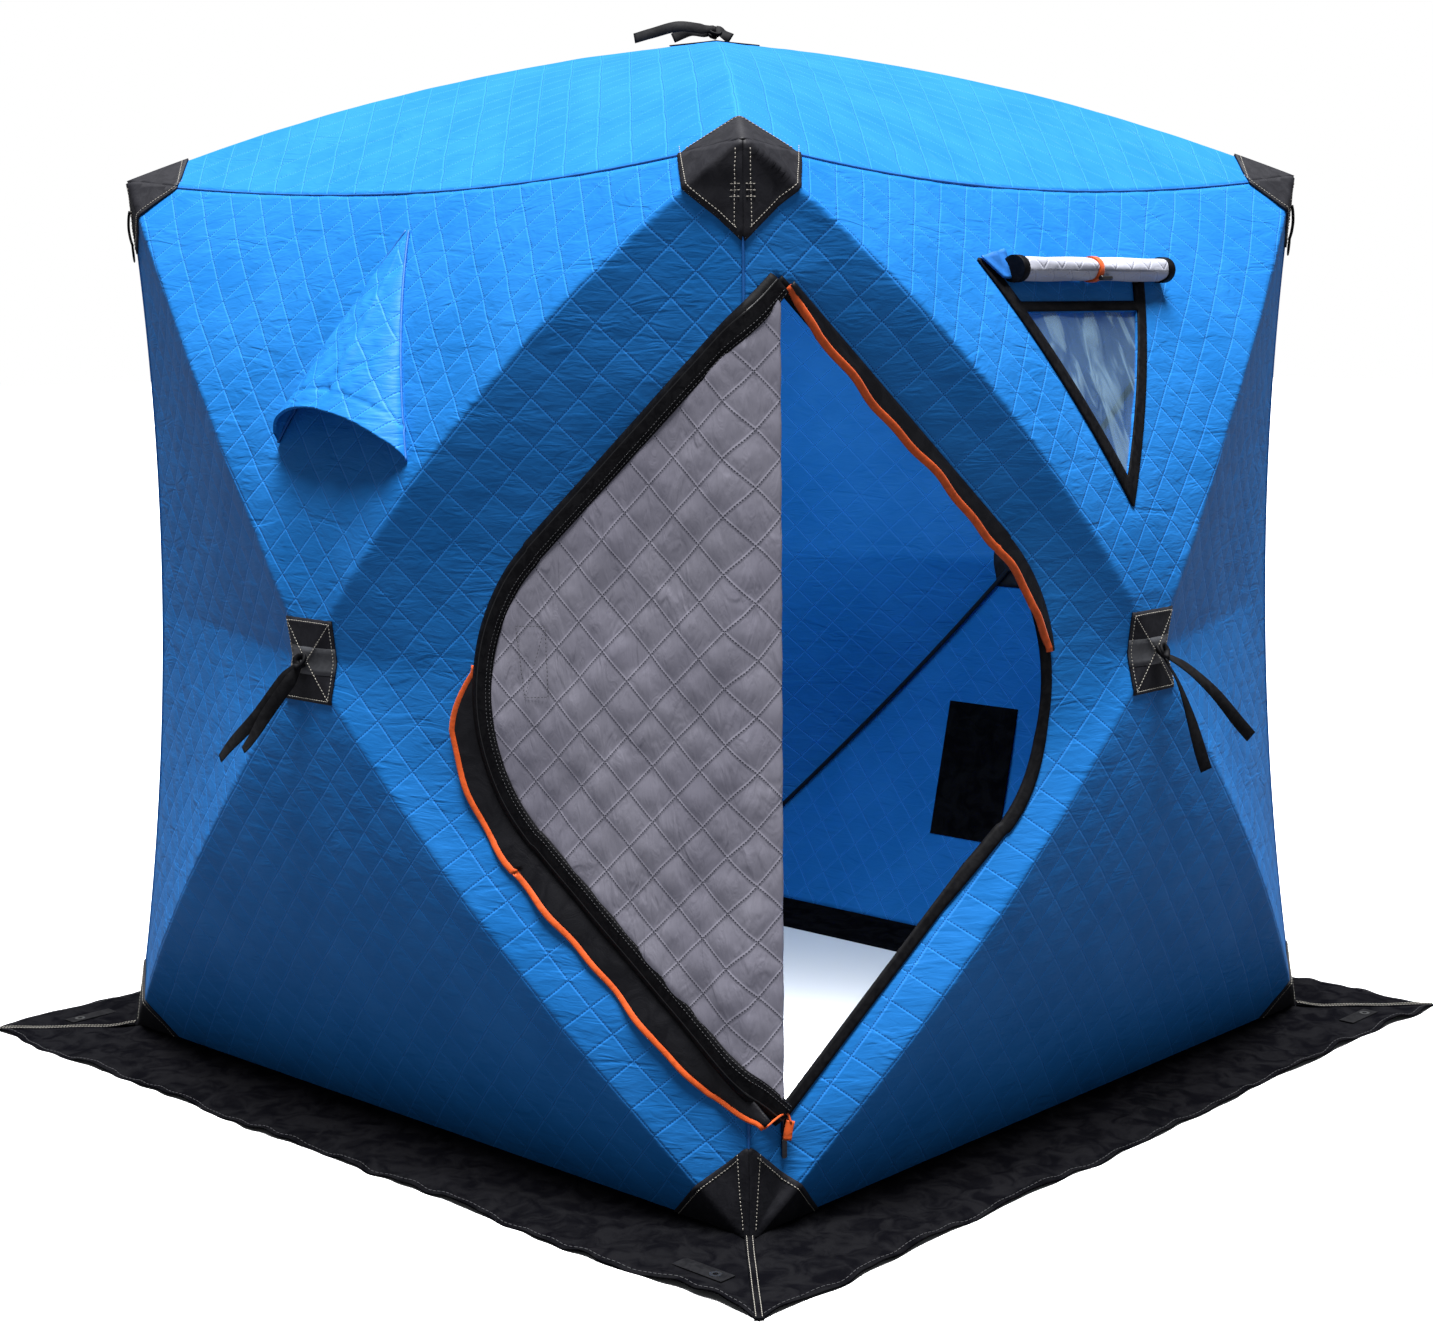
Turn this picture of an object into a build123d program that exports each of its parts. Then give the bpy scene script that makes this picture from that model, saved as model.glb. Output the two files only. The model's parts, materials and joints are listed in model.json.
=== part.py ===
from build123d import *
from math import atan2, cos, hypot, radians, sin, sqrt
import os

# Pop-up fishing hut of quilted cloth. Each wall and the roof is pushed out by a hub with four bent poles.
# Millimetres, Z up, origin on the ground under the roof hub. The front wall faces -Y and the right wall +X.
# The doorway is in the right wall, beside the corner that it shares with the front wall.

# Driving dimensions
base_half = 900.0
eave_half = 860.0
eave_height = 1810.0
roof_hub_height = 2090.0
wall_hub_reach = 1092.0
wall_hub_height = 920.0
cloth = 6.0
corner_depth = 0.83
seam = 0.6
fit = 0.4
pole_bow = 50.0
crease_shift = 45.0
roof_bow = 44.0
corner_pull = 63.0
eave_sag = 50.0
tip_trim = 16.0
panel_steps = 10
least_sag = 0.004

pole_radius = 5.5
pole_clearance = 2.4
pole_tip_gap = 60.0
socket_radius = 6.3
socket_length = 70.0
socket_root = 12.0
hub_core_radius = 23.0
hub_core_drop = 14.0
hub_core_length = 18.0
hub_stud_radius = 2.5
stud_short = 1.1

skirt_width = 230.0
skirt_thickness = 3.0
skirt_seat = 2.2
sill_width = 215.0

door_hinge = 62.0
door_low = 197.0
door_high = 1600.0
door_point = 810.0
door_point_height = 888.0
door_round = 350.0
knee_least = 0.25
knee_most = 0.8
zip_width = 14.0
zip_thickness = 3.0
slider_lift = 4.0
slider_width = 14.0
slider_length = 30.0
flap_lift = 4.0
flap_thickness = 7.0
flap_tape_width = 26.0
storm_width = 62.0
storm_thickness = 2.0
storm_gap = 0.9
storm_steps = 8

window_left = -215.0
window_right = 146.0
window_top = 1548.0
window_tip_across = -35.0
window_tip_height = 1232.0
window_tape = 34.0
tape_end = ((-307.0, 1630.0), (-264.0, 1630.0))
tape_top_share = 0.55
tape_tip_share = 1.5
tape_neck_share = 0.9
tape_inside = 4.0
pane_outside = 12.0
seam_end = 10.0
tape_thickness = 2.0
pane_thickness = 1.0
pane_gap = 1.2
roll_radius = 23.0
roll_left = -232.0
roll_right = 248.0
roll_height = 1612.0
tie_across = -1.0
tie_width = 18.0
tie_thickness = 1.6

hood_peak = (35.0, 1698.0)
hood_left = (-138.0, 1306.0)
hood_right = (243.0, 1288.0)
hood_reach = 92.0
hood_arch = 80.0
hood_cloth = 4.0
hood_gap = 1.6
vent_width = 150.0
vent_height = 120.0
vent_centre = (24.0, 1430.0)

hub_patch_half = 66.0
hub_patch_rise = 74.0
patch_thickness = 2.0
patch_clearance = 1.2
top_patch_side = 168.0
top_patch_drop = 155.0
base_patch_side = 160.0
base_patch_rise = 160.0
strap_width = 25.0
strap_thickness = 2.0
strap_drop = 160.0
strap_reach = 105.0
strap_tails = ((-0.45, 1.0, 1.0), (0.1, 0.8, 0.94))
roof_tails = ((124.0, 16.0), (68.2, 4.0))
knot_size = 24.0
pull_length = 82.0
pull_width = 14.0
pull_seat = 4.2
pocket_width = 210.0
pocket_height = 330.0
pocket_base = 225.0
pocket_centre = 75.0
tab_length = 110.0
tab_width = 34.0
tab_across = 955.0
tab_out = 1042.0
grommet_radius = 11.0
grommet_bore = 5.0
grommet_height = 6.0

front, right, back, left = 0, 90, 180, 270
walls = {"front": front, "right": right, "back": back, "left": left}
os.makedirs("parts", exist_ok=True)


def save(piece, name):
    piece.part.label = name
    export_step(piece.part, f"parts/{name}.step")


# Shape of the cloth: a wall is drawn by "across" (along it), "out" (from the hut's middle) and height
def place(turn, across, out):
    angle = radians(turn)
    return (across * cos(angle) + out * sin(angle), across * sin(angle) - out * cos(angle))


def point(turn, across, out, height):
    return (*place(turn, across, out), height)


def corner_at(height, pulled):
    share = height / eave_height
    straight = base_half + (eave_half - base_half) * share
    return straight - pulled * corner_pull / sqrt(2) * 4 * share * (1 - share)


def crease(share, upper):
    """Point of a wall's bent pole line, from the hub (0) to a corner (1), as across, out and height."""
    corner_half = eave_half if upper else base_half
    rise = (eave_height if upper else 0.0) - wall_hub_height
    shift = crease_shift / hypot(corner_half, rise) if upper else 0.0
    bow = 4 * share * (1 - share)
    across = share * corner_half - bow * shift * rise
    out = wall_hub_reach + share * (corner_half - wall_hub_reach) + bow * pole_bow
    return across, out, wall_hub_height + share * rise + bow * shift * corner_half


def crease_share(height):
    """Share of the pole line at which it reaches a height, found by halving."""
    upper = height > wall_hub_height
    low, high = 0.0, 1.0
    for _ in range(40):
        middle = (low + high) / 2
        if abs(crease(middle, upper)[2] - wall_hub_height) < abs(height - wall_hub_height):
            low = middle
        else:
            high = middle
    return low, upper


def crease_at(height):
    return crease(*crease_share(height))


eave_middle = eave_height - eave_sag
eave_inset = eave_half - eave_sag
wall_sag_there = crease_at(eave_middle)[1] - eave_inset


def wall_sag(height):
    share = max(0.0, (height - wall_hub_height) / (eave_middle - wall_hub_height))
    return wall_sag_there * share ** 2


def ridge_height(half):
    share = half / eave_half
    chord = eave_height + (roof_hub_height - eave_height) * (1 - share)
    return chord + 4 * share * (1 - share) * roof_bow


def roof_sag(half):
    return (ridge_height(eave_inset) - eave_middle) * (half / eave_inset) ** 2


def wall_out(across, height):
    """How far out the cloth's outer face is on a wall's upper or lower facet."""
    crease_across, crease_out, _ = crease_at(height)
    return crease_out - wall_sag(height) * (1 - (across / max(crease_across, 1.0)) ** 2)


# The door's curved edge: two straight runs from the fold line that meet in a large round
hub_corner = corner_at(wall_hub_height, 0)
facet_length = hypot(hub_corner, wall_hub_reach - hub_corner)
facet_across = hub_corner / facet_length
facet_out = (wall_hub_reach - hub_corner) / facet_length


door_reach = door_point - door_hinge
door_slope = atan2((door_high - door_low) / 2, door_reach)


def door_width(height):
    """Distance of the door's edge from its fold line at a height, on the straight runs and the round."""
    rise = height - door_point_height
    if abs(rise) < door_round * cos(door_slope):
        return door_reach - door_round / sin(door_slope) + sqrt(door_round ** 2 - rise ** 2)
    end = door_high if rise > 0 else door_low
    return max(0.0, door_reach * (height - end) / (door_point_height - end))


def knee(share, upper, fold):
    """Distance from the corner to where the flat cloth by the door starts to rise to the pole."""
    across, out, height = crease(share, upper)
    corner = corner_at(height, 0)
    full = (corner - across) / facet_across
    return min(max(fold + door_width(height), knee_least * full), knee_most * full)


def shares(start, end):
    return [start + (end - start) * i / panel_steps for i in range(panel_steps + 1)]


slit = 3.4
slit_share = slit / eave_half
tip_share = 1 - tip_trim / eave_half
side_levels = (
    [(s, False) for s in reversed(shares(slit_share, tip_share))]
    + [(0.0, True)]
    + [(s, True) for s in shares(slit_share, tip_share)]
)


def loft_sections(sections):
    faces = []
    for height, points in sections:
        with BuildSketch(Plane.XY.offset(height)) as section:
            with BuildLine():
                Polyline(*points, close=True)
            make_face()
        faces.append(section.sketch)
    loft(faces, ruled=True)


def side_panel(turn, side, pulled, fold=None):
    """Facet between a corner of the hut and a wall's hub, as level sections. A door side has a knee."""
    sections = []
    for share, upper in side_levels:
        across, out, height = crease(share, upper)
        across = max(across, slit)
        corner = corner_at(height, pulled)
        inner = corner - corner_depth * cloth
        outside = [(corner - seam / 2, corner), (across + seam / 2, out)]
        inside = [(across + seam / 2, out - cloth), (inner - seam / 2, inner)]
        if fold is not None:
            width = knee(share, upper, fold)
            mid = (corner - width * facet_across, corner + width * facet_out)
            deep = (mid[0] - cloth * facet_out, mid[1] - cloth * facet_across)
            outside.insert(1, mid)
            inside.insert(1, deep)
        sections.append((height, [place(turn, side * a, o) for a, o in outside + inside]))
    loft_sections(sections)


def arched_section(turn, across, out, sag, near, deep, height):
    """Level section of a sagging facet, from near to deep below the line of the cloth's outer face."""
    inner_across = min(across, corner_at(height, 1) - deep)
    outer = [(-across, out - near), (0, out - sag - near), (across, out - near)]
    inner = [(inner_across, out - deep), (0, out - sag - deep), (-inner_across, out - deep)]
    with BuildSketch(Plane.XY.offset(height)) as section:
        with BuildLine():
            for run in (outer, inner):
                ends = [place(turn, a, o) for a, o in run]
                if sag:
                    ThreePointArc(*ends)
                else:
                    Line(ends[0], ends[2])
            Line(place(turn, *outer[2]), place(turn, *inner[0]))
            Line(place(turn, *inner[2]), place(turn, *outer[0]))
        make_face()
    return section.sketch


def middle_panel(turn, upper):
    """Facet between the two pole lines above or below a wall's hub, sagging to the eave."""
    faces = []
    for share in shares(slit_share, 1.0):
        across, out, height = crease(share, upper)
        across = max(across, slit) - seam / 2
        sag = max(wall_sag(height), least_sag * across) if upper else 0
        faces.append(arched_section(turn, across, out, sag, 0, cloth, height))
    loft(faces, ruled=True)


def mitre(turn, shift):
    """Plane of the eave seam, through two corners and the sagging middle of the eave."""
    return Plane(origin=point(turn, 0, eave_half, eave_height + shift), z_dir=point(turn, 0, -1, 1))


def seam_cut(turn, side, height):
    """Thin level cut through a door-side facet, so that each piece of cloth is nearly flat."""
    near, far = side * (slit + seam), side * wall_hub_reach
    inner, outer = eave_half * 0.7, wall_hub_reach * 1.1
    with BuildSketch(Plane.XY.offset(height - seam / 2)) as cut:
        with BuildLine():
            corners = ((near, inner), (far, inner), (far, outer), (near, outer))
            Polyline(*[place(turn, *spot) for spot in corners], close=True)
        make_face()
    extrude(cut.sketch, amount=seam, mode=Mode.SUBTRACT)


# The door-side facet of the right wall, and the facet of the front wall that the open flap lies on
base_corner = Vector(base_half, -base_half, 0)
corner_line = (Vector(eave_half, -eave_half, eave_height) - base_corner).normalized()
right_along = Vector(facet_out, facet_across, 0)
front_along = Vector(-facet_across, -facet_out, 0)
right_normal = right_along.cross(corner_line).normalized()
front_normal = corner_line.cross(front_along).normalized()
door_plane = Plane(origin=base_corner, x_dir=right_normal.cross(corner_line) * -1, z_dir=right_normal)
fold_plane = Plane(origin=base_corner, x_dir=front_normal.cross(corner_line), z_dir=front_normal * -1)


def door_outline(fold, inset):
    """The door's edge from its fold line, two straight runs and one round, inset all round."""
    slope = inset / cos(door_slope)
    point_back = inset / sin(door_slope)
    with BuildLine() as outline:
        edge = FilletPolyline(
            (fold, door_low + slope),
            (fold + door_reach - point_back, door_point_height),
            (fold, door_high - slope),
            radius=door_round - inset,
        )
        Line(edge @ 0, edge @ 1)
    make_face(outline.edges())


# Walls
def upper_triangle(grow):
    return [
        (window_left - grow, window_top + grow * tape_top_share),
        (window_right + grow, window_top + grow * tape_top_share),
        (window_tip_across, window_tip_height - grow * tape_tip_share),
    ]


door_seams = (
    door_low,
    (door_low + wall_hub_height) / 2,
    wall_hub_height,
    (wall_hub_height + door_high) / 2,
    door_high - seam_end,
)
right_face = Plane(origin=(0, 0, 0), x_dir=(0, 1, 0), z_dir=(1, 0, 0))
front_face = Plane(origin=(0, 0, 0), x_dir=(1, 0, 0), z_dir=(0, -1, 0))

for name, turn in walls.items():
    with BuildPart() as wall:
        for upper in (False, True):
            middle_panel(turn, upper)
        near_side = {"front": 1, "right": -1}.get(name)
        for side in (-1, 1):
            if side == near_side:
                side_panel(turn, side, 0, door_hinge if name == "right" else -door_hinge)
            else:
                side_panel(turn, side, 1)
        split(bisect_by=mitre(turn, -seam / 2), keep=Keep.BOTTOM)
        if name == "right":
            with BuildSketch(door_plane.offset(-2 * cloth)):
                door_outline(door_hinge, 0)
            extrude(amount=3 * cloth, mode=Mode.SUBTRACT)
            for height in door_seams:
                seam_cut(turn, -1, height)
            with BuildSketch(right_face):
                with BuildLine():
                    Polyline(*upper_triangle(0), close=True)
                make_face()
            extrude(amount=wall_hub_reach, mode=Mode.SUBTRACT)
        if name == "front":
            with BuildSketch(front_face):
                with Locations(vent_centre):
                    Ellipse(vent_width / 2, vent_height / 2)
            extrude(amount=wall_hub_reach, mode=Mode.SUBTRACT)
    save(wall, f"{name}_wall")

# Roof
with BuildPart() as roof:
    for turn in walls.values():
        for share in shares(slit_share, 1.0):
            half = share * eave_half
            edge = half - seam / 2
            top = ridge_height(half)
            sag = max(roof_sag(half), least_sag * half)
            side_on = Plane(
                origin=point(turn, 0, half, 0), x_dir=point(turn, 1, 0, 0), z_dir=point(turn, 0, 1, 0)
            )
            with BuildSketch(side_on):
                with BuildLine():
                    ThreePointArc((-edge, top), (0, top - sag), (edge, top))
                    Line((edge, top), (edge, top - cloth))
                    ThreePointArc((edge, top - cloth), (0, top - sag - cloth), (-edge, top - cloth))
                    Line((-edge, top - cloth), (-edge, top))
                make_face()
        loft(ruled=True)
        split(bisect_by=mitre(turn, seam / 2), keep=Keep.TOP)
save(roof, "roof")

# Poles and hubs
pole_depth = cloth + pole_radius / 0.96 + pole_clearance
arm_lines = [(upper, side) for upper in (False, True) for side in (-1, 1)]


def pole_line(turn, upper, side, start, end):
    """Three points of a pole's centre line inside the cloth."""
    spots = []
    for share in (start, (start + end) / 2, end):
        across, out, height = crease(share, upper)
        spots.append(Vector(*point(turn, side * across, out - pole_depth, height)))
    return spots


def ridge_line(turn, start, end):
    spots = []
    for share in (start, (start + end) / 2, end):
        half = share * eave_half
        spots.append(Vector(*point(turn, half, half, ridge_height(half) - pole_depth)))
    return spots


def rod(spots, radius):
    with BuildLine() as path:
        ThreePointArc(*spots)
    with BuildSketch(Plane(origin=path.line @ 0, z_dir=path.line % 0)) as section:
        Circle(radius)
    sweep(section.sketch, path=path.line)


wall_pole = hypot(eave_half, wall_hub_height)
roof_pole = hypot(eave_half * sqrt(2), roof_hub_height - eave_height)
for name, turn in walls.items():
    with BuildPart() as poles:
        for upper, side in arm_lines:
            start = (socket_length + fit) / wall_pole
            rod(pole_line(turn, upper, side, start, 1 - pole_tip_gap / wall_pole), pole_radius)
    save(poles, f"{name}_poles")
    with BuildPart() as hub:
        core_top = wall_hub_reach - hub_core_drop
        core = Plane(origin=point(turn, 0, core_top, wall_hub_height), z_dir=point(turn, 0, 1, 0))
        with BuildSketch(core):
            Circle(hub_core_radius)
        extrude(amount=-hub_core_length)
        with BuildSketch(core):
            Circle(hub_stud_radius)
        extrude(amount=hub_core_drop + patch_clearance - stud_short)
        for upper, side in arm_lines:
            root = socket_root / wall_pole
            rod(pole_line(turn, upper, side, root, socket_length / wall_pole), socket_radius)
    save(hub, f"{name}_hub")

with BuildPart() as roof_poles:
    for turn in walls.values():
        start = (socket_length + fit) / roof_pole
        rod(ridge_line(turn, start, 1 - pole_tip_gap / roof_pole), pole_radius)
save(roof_poles, "roof_poles")

with BuildPart() as roof_hub:
    with BuildSketch(Plane.XY.offset(roof_hub_height - hub_core_drop)):
        Circle(hub_core_radius)
    extrude(amount=-hub_core_length)
    with BuildSketch(Plane.XY.offset(roof_hub_height - hub_core_drop)):
        Circle(hub_stud_radius)
    extrude(amount=hub_core_drop + patch_clearance - stud_short)
    for turn in walls.values():
        rod(ridge_line(turn, socket_root / roof_pole, socket_length / roof_pole), socket_radius)
save(roof_hub, "roof_hub")


# Sewn patches: flat facets that share their edges, all thickened in one direction
def fan(apex, rim, closed, direction, thickness):
    direction = Vector(*direction).normalized()
    rim = [Vector(*spot) for spot in rim]
    pairs = list(zip(rim, rim[1:] + rim[:1])) if closed else list(zip(rim, rim[1:]))
    for first, second in pairs:
        facet = Face(Wire.make_polygon([Vector(*apex), first, second], close=True))
        extrude(to_extrude=facet, amount=thickness, dir=direction)


def shifted(spot, direction, amount):
    move = Vector(*direction).normalized() * amount
    return tuple(Vector(*spot) + move)


with BuildPart() as hub_patches:
    for turn in walls.values():
        rim = []
        for side, rise in ((0, 1), (1, 1), (1, 0), (1, -1), (0, -1), (-1, -1), (-1, 0), (-1, 1)):
            height = wall_hub_height + rise * hub_patch_rise
            if rise == 0:
                out = wall_hub_reach - hub_patch_half * facet_out / facet_across
            elif side == 0:
                out = wall_out(0, height)
            else:
                out = crease_at(height)[1] + patch_clearance
            rim.append(point(turn, side * hub_patch_half, out + patch_clearance, height))
        apex = point(turn, 0, wall_hub_reach + patch_clearance, wall_hub_height)
        fan(apex, rim, True, point(turn, 0, 1, 0), patch_thickness)
    rim = []
    for turn in walls.values():
        for across in (0, hub_patch_half):
            height = ridge_height(hub_patch_half) - (roof_sag(hub_patch_half) if across == 0 else 0)
            rim.append(point(turn, across, hub_patch_half, height + patch_clearance))
    fan((0, 0, roof_hub_height + patch_clearance), rim, True, (0, 0, 1), patch_thickness)
save(hub_patches, "hub_patches")


def corner_patch(turn, top):
    """Patch over the corner at the right end of a wall, drawn over both walls and, on top, the roof."""
    side = top_patch_side if top else base_patch_side
    drop = top_patch_drop if top else -base_patch_rise
    half = eave_half if top else base_half
    base = eave_height if top else 0.0
    pulled = 0 if turn == front else 1
    out_line = point(turn, 1, 1, 0.35 if top else 0.0)
    share = 1 - side / (wall_pole if top else hypot(base_half, wall_hub_height))
    pole_across, pole_out, pole_height = crease(share, top)
    low_corner = corner_at(base - drop, pulled)
    if top:
        along = half - side
        eave_drop = eave_sag * (1 - (along / half) ** 2)
        eave = (along, half - eave_drop, base - eave_drop)
        ridge = half - side / sqrt(2)
        spots = [
            point(turn, *eave),
            point(turn, pole_across, pole_out, pole_height),
            point(turn, low_corner, low_corner, base - drop),
            point(turn + 90, -pole_across, pole_out, pole_height),
            point(turn + 90, -eave[0], eave[1], eave[2]),
            point(turn, ridge, ridge, ridge_height(ridge)),
        ]
    else:
        spots = [
            point(turn, half - side, half, above_skirt),
            point(turn, pole_across, pole_out, pole_height),
            point(turn, low_corner, low_corner, base - drop),
            point(turn + 90, -pole_across, pole_out, pole_height),
            point(turn + 90, side - half, half, above_skirt),
        ]
    with BuildPart() as patch:
        rim = [shifted(spot, out_line, 2 * patch_clearance) for spot in spots]
        apex = shifted(point(turn, half, half, base if top else above_skirt), out_line, 2 * patch_clearance)
        fan(apex, rim, top, out_line, patch_thickness)
    return patch


above_skirt = skirt_thickness + fit
corner_names = {"near": front, "right": right, "back": back, "left": left}
for name, turn in corner_names.items():
    save(corner_patch(turn, True), f"{name}_top_patch")
    save(corner_patch(turn, False), f"{name}_base_patch")

# Ground skirt outside the walls and sill flap inside them
skirt_half = base_half + skirt_width
for name, turn in walls.items():
    with BuildPart() as skirt:
        with BuildSketch():
            inner = base_half + skirt_seat
            with BuildLine():
                Polyline(
                    place(turn, fit - inner, inner),
                    place(turn, inner - fit, inner),
                    place(turn, skirt_half - fit, skirt_half),
                    place(turn, fit - skirt_half, skirt_half),
                    close=True,
                )
            make_face()
            with Locations(place(turn, tab_across, tab_out)):
                Circle(grommet_radius + fit, mode=Mode.SUBTRACT)
        extrude(amount=skirt_thickness)
    save(skirt, f"{name}_skirt")

with BuildPart() as sill:
    for turn in walls.values():
        with BuildSketch():
            outer = base_half - cloth - fit
            inner = outer - sill_width
            with BuildLine():
                Polyline(
                    place(turn, fit - outer, outer),
                    place(turn, outer - fit, outer),
                    place(turn, inner - fit, inner),
                    place(turn, fit - inner, inner),
                    close=True,
                )
            make_face()
        extrude(amount=skirt_thickness)
save(sill, "floor_sill")

with BuildPart() as tabs:
    for turn in walls.values():
        with BuildSketch(Plane.XY.offset(skirt_thickness + fit)):
            with Locations(Location((*place(turn, tab_across - tab_length / 4, tab_out), 0), (0, 0, turn))):
                Rectangle(tab_length, tab_width)
            with Locations(place(turn, tab_across, tab_out)):
                Circle(grommet_radius + fit, mode=Mode.SUBTRACT)
        extrude(amount=storm_thickness)
save(tabs, "corner_tabs")

with BuildPart() as grommets:
    for turn in walls.values():
        with BuildSketch():
            with Locations(place(turn, tab_across, tab_out)):
                Circle(grommet_radius)
                Circle(grommet_bore, mode=Mode.SUBTRACT)
        extrude(amount=grommet_height)
save(grommets, "anchor_grommets")

# Door flap: it folds back at its fold line, crosses the corner and lies on the front wall
turn_in = flap_lift * (facet_across - facet_out) / (facet_across + facet_out) - fit / 2
turn_clear = 60.0
with BuildPart() as flap:
    with BuildSketch(fold_plane.offset(-flap_lift)):
        door_outline(-door_hinge, flap_tape_width)
        with Locations((-turn_clear - turn_in, door_point_height)):
            Rectangle(2 * turn_clear, 2 * eave_height, mode=Mode.SUBTRACT)
    extrude(amount=-flap_thickness)
    with BuildSketch(door_plane.offset(flap_lift)):
        with BuildLine():
            Polyline(
                (-turn_in, door_low + door_hinge),
                (door_hinge + fit + flap_thickness, door_low + door_hinge),
                (door_hinge + fit + flap_thickness, door_high - door_hinge),
                (-turn_in, door_high - door_hinge),
                close=True,
            )
        make_face()
    extrude(amount=flap_thickness)
    with BuildSketch(door_plane.offset(flap_lift)):
        with Locations((door_hinge + fit + flap_thickness / 2, (door_low + door_high) / 2)):
            Rectangle(flap_thickness, door_high - door_low - 2 * door_hinge)
    extrude(amount=-flap_lift - cloth)
save(flap, "door_flap")

with BuildPart() as flap_tape:
    with BuildSketch(fold_plane.offset(-flap_lift)):
        door_outline(-door_hinge, 0)
        with Locations((-turn_clear - turn_in, door_point_height)):
            Rectangle(2 * turn_clear, 2 * eave_height, mode=Mode.SUBTRACT)
    extrude(amount=-zip_thickness)
    with BuildSketch(fold_plane.offset(1 - flap_lift)):
        door_outline(-door_hinge, flap_tape_width - fit)
    extrude(amount=-zip_thickness - 2, mode=Mode.SUBTRACT)
save(flap_tape, "door_flap_tape")

with BuildPart() as doorway_zip:
    with BuildSketch(door_plane.offset(-cloth / 2 - zip_thickness / 2)):
        door_outline(door_hinge, fit)
    extrude(amount=zip_thickness)
    with BuildSketch(door_plane.offset(-cloth)):
        door_outline(door_hinge, zip_width)
    extrude(amount=cloth, mode=Mode.SUBTRACT)
save(doorway_zip, "doorway_zip")


def storm_strip(turn, side, fold, upper, width):
    """Storm flap along the door's edge, on the cloth that rises from the edge to the pole."""
    sections = []
    for share in shares(slit_share, tip_share)[:storm_steps]:
        across, out, height = crease(share, upper)
        corner = corner_at(height, 0)
        reach = knee(share, upper, fold) + fit
        root = (corner - reach * facet_across, corner + reach * facet_out)
        span = hypot(root[0] - across, root[1] - out)
        part = min(width, 0.9 * span) / span
        end = (root[0] + (across - root[0]) * part, root[1] + (out - root[1]) * part)
        outline = [
            (root[0], root[1] + storm_gap),
            (end[0], end[1] + storm_gap),
            (end[0], end[1] + storm_gap + storm_thickness),
            (root[0], root[1] + storm_gap + storm_thickness),
        ]
        sections.append((height, [place(turn, side * a, o) for a, o in outline]))
    loft_sections(sections)


with BuildPart() as upper_storm:
    storm_strip(right, -1, door_hinge, True, storm_width * 0.6)
save(upper_storm, "upper_storm_flap")

with BuildPart() as lower_storm:
    storm_strip(front, 1, -door_hinge, False, storm_width)
save(lower_storm, "lower_storm_flap")

with BuildPart() as slider:
    with BuildSketch(door_plane.offset(slider_lift)):
        with Locations((door_hinge + slider_width / 2, door_low - slider_length / 5)):
            RectangleRounded(slider_width, slider_length, slider_width / 3)
    extrude(amount=slider_width / 2)
    with BuildSketch(door_plane.offset(slider_lift + 2)):
        with Locations((door_hinge + slider_width / 3, door_low - slider_length * 1.33)):
            RectangleRounded(slider_width * 0.7, slider_length * 1.45, slider_width * 0.3)
    extrude(amount=zip_thickness)
save(slider, "zip_slider")


# Window: tape frame outside, clear pane inside and the rolled-up cover above
def facet_shell(turn, low_share, high_share, lo, hi):
    """Part of a wall's upper facet as a shell from lo to hi proud of the cloth's outer face."""
    faces = []
    for step in range(panel_steps + 1):
        across, out, height = crease(low_share + (high_share - low_share) * step / panel_steps, True)
        faces.append(arched_section(turn, across, out, wall_sag(height), -hi, -lo, height))
    loft(faces, ruled=True)


pole_at = [crease_share(h)[0] for h in (window_tip_height - 2 * window_tape, tape_end[0][1] + window_tape)]
with BuildPart() as window_frame:
    facet_shell(right, *pole_at, fit, fit + tape_thickness)
    with BuildSketch(right_face):
        with BuildLine():
            low_left, low_right, tip = upper_triangle(window_tape)
            neck = (low_left[0] + window_tape * tape_neck_share, low_left[1])
            Polyline(tape_end[0], tape_end[1], neck, low_right, tip, close=True)
        make_face()
        with BuildLine():
            Polyline(*upper_triangle(-tape_inside), close=True)
        make_face(mode=Mode.SUBTRACT)
    extrude(amount=2 * wall_hub_reach, mode=Mode.INTERSECT)
save(window_frame, "window_frame")

with BuildPart() as pane:
    facet_shell(right, *pole_at, -cloth - pane_gap - pane_thickness, -cloth - pane_gap)
    with BuildSketch(right_face):
        with BuildLine():
            Polyline(*upper_triangle(pane_outside), close=True)
        make_face()
    extrude(amount=2 * wall_hub_reach, mode=Mode.INTERSECT)
save(pane, "window_pane")

roll_out = max(wall_out(a, roll_height) for a in (roll_left, roll_right))
roll_slope = (wall_out(roll_right, roll_height - roll_radius) - roll_out) / roll_radius
roll_centre = roll_out + roll_radius * hypot(1, roll_slope) + fit
with BuildPart() as cover_roll:
    with BuildSketch(Plane(origin=point(right, roll_left, roll_centre, roll_height), z_dir=(0, 1, 0))):
        Circle(roll_radius)
    extrude(amount=roll_right - roll_left)
save(cover_roll, "window_cover_roll")

with BuildPart() as tie:
    with BuildSketch(Plane(origin=point(right, tie_across, roll_centre, roll_height), z_dir=(0, 1, 0))):
        Circle(roll_radius + fit + tie_thickness)
        Circle(roll_radius + fit, mode=Mode.SUBTRACT)
    extrude(amount=tie_width)
save(tie, "window_tie")

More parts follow.
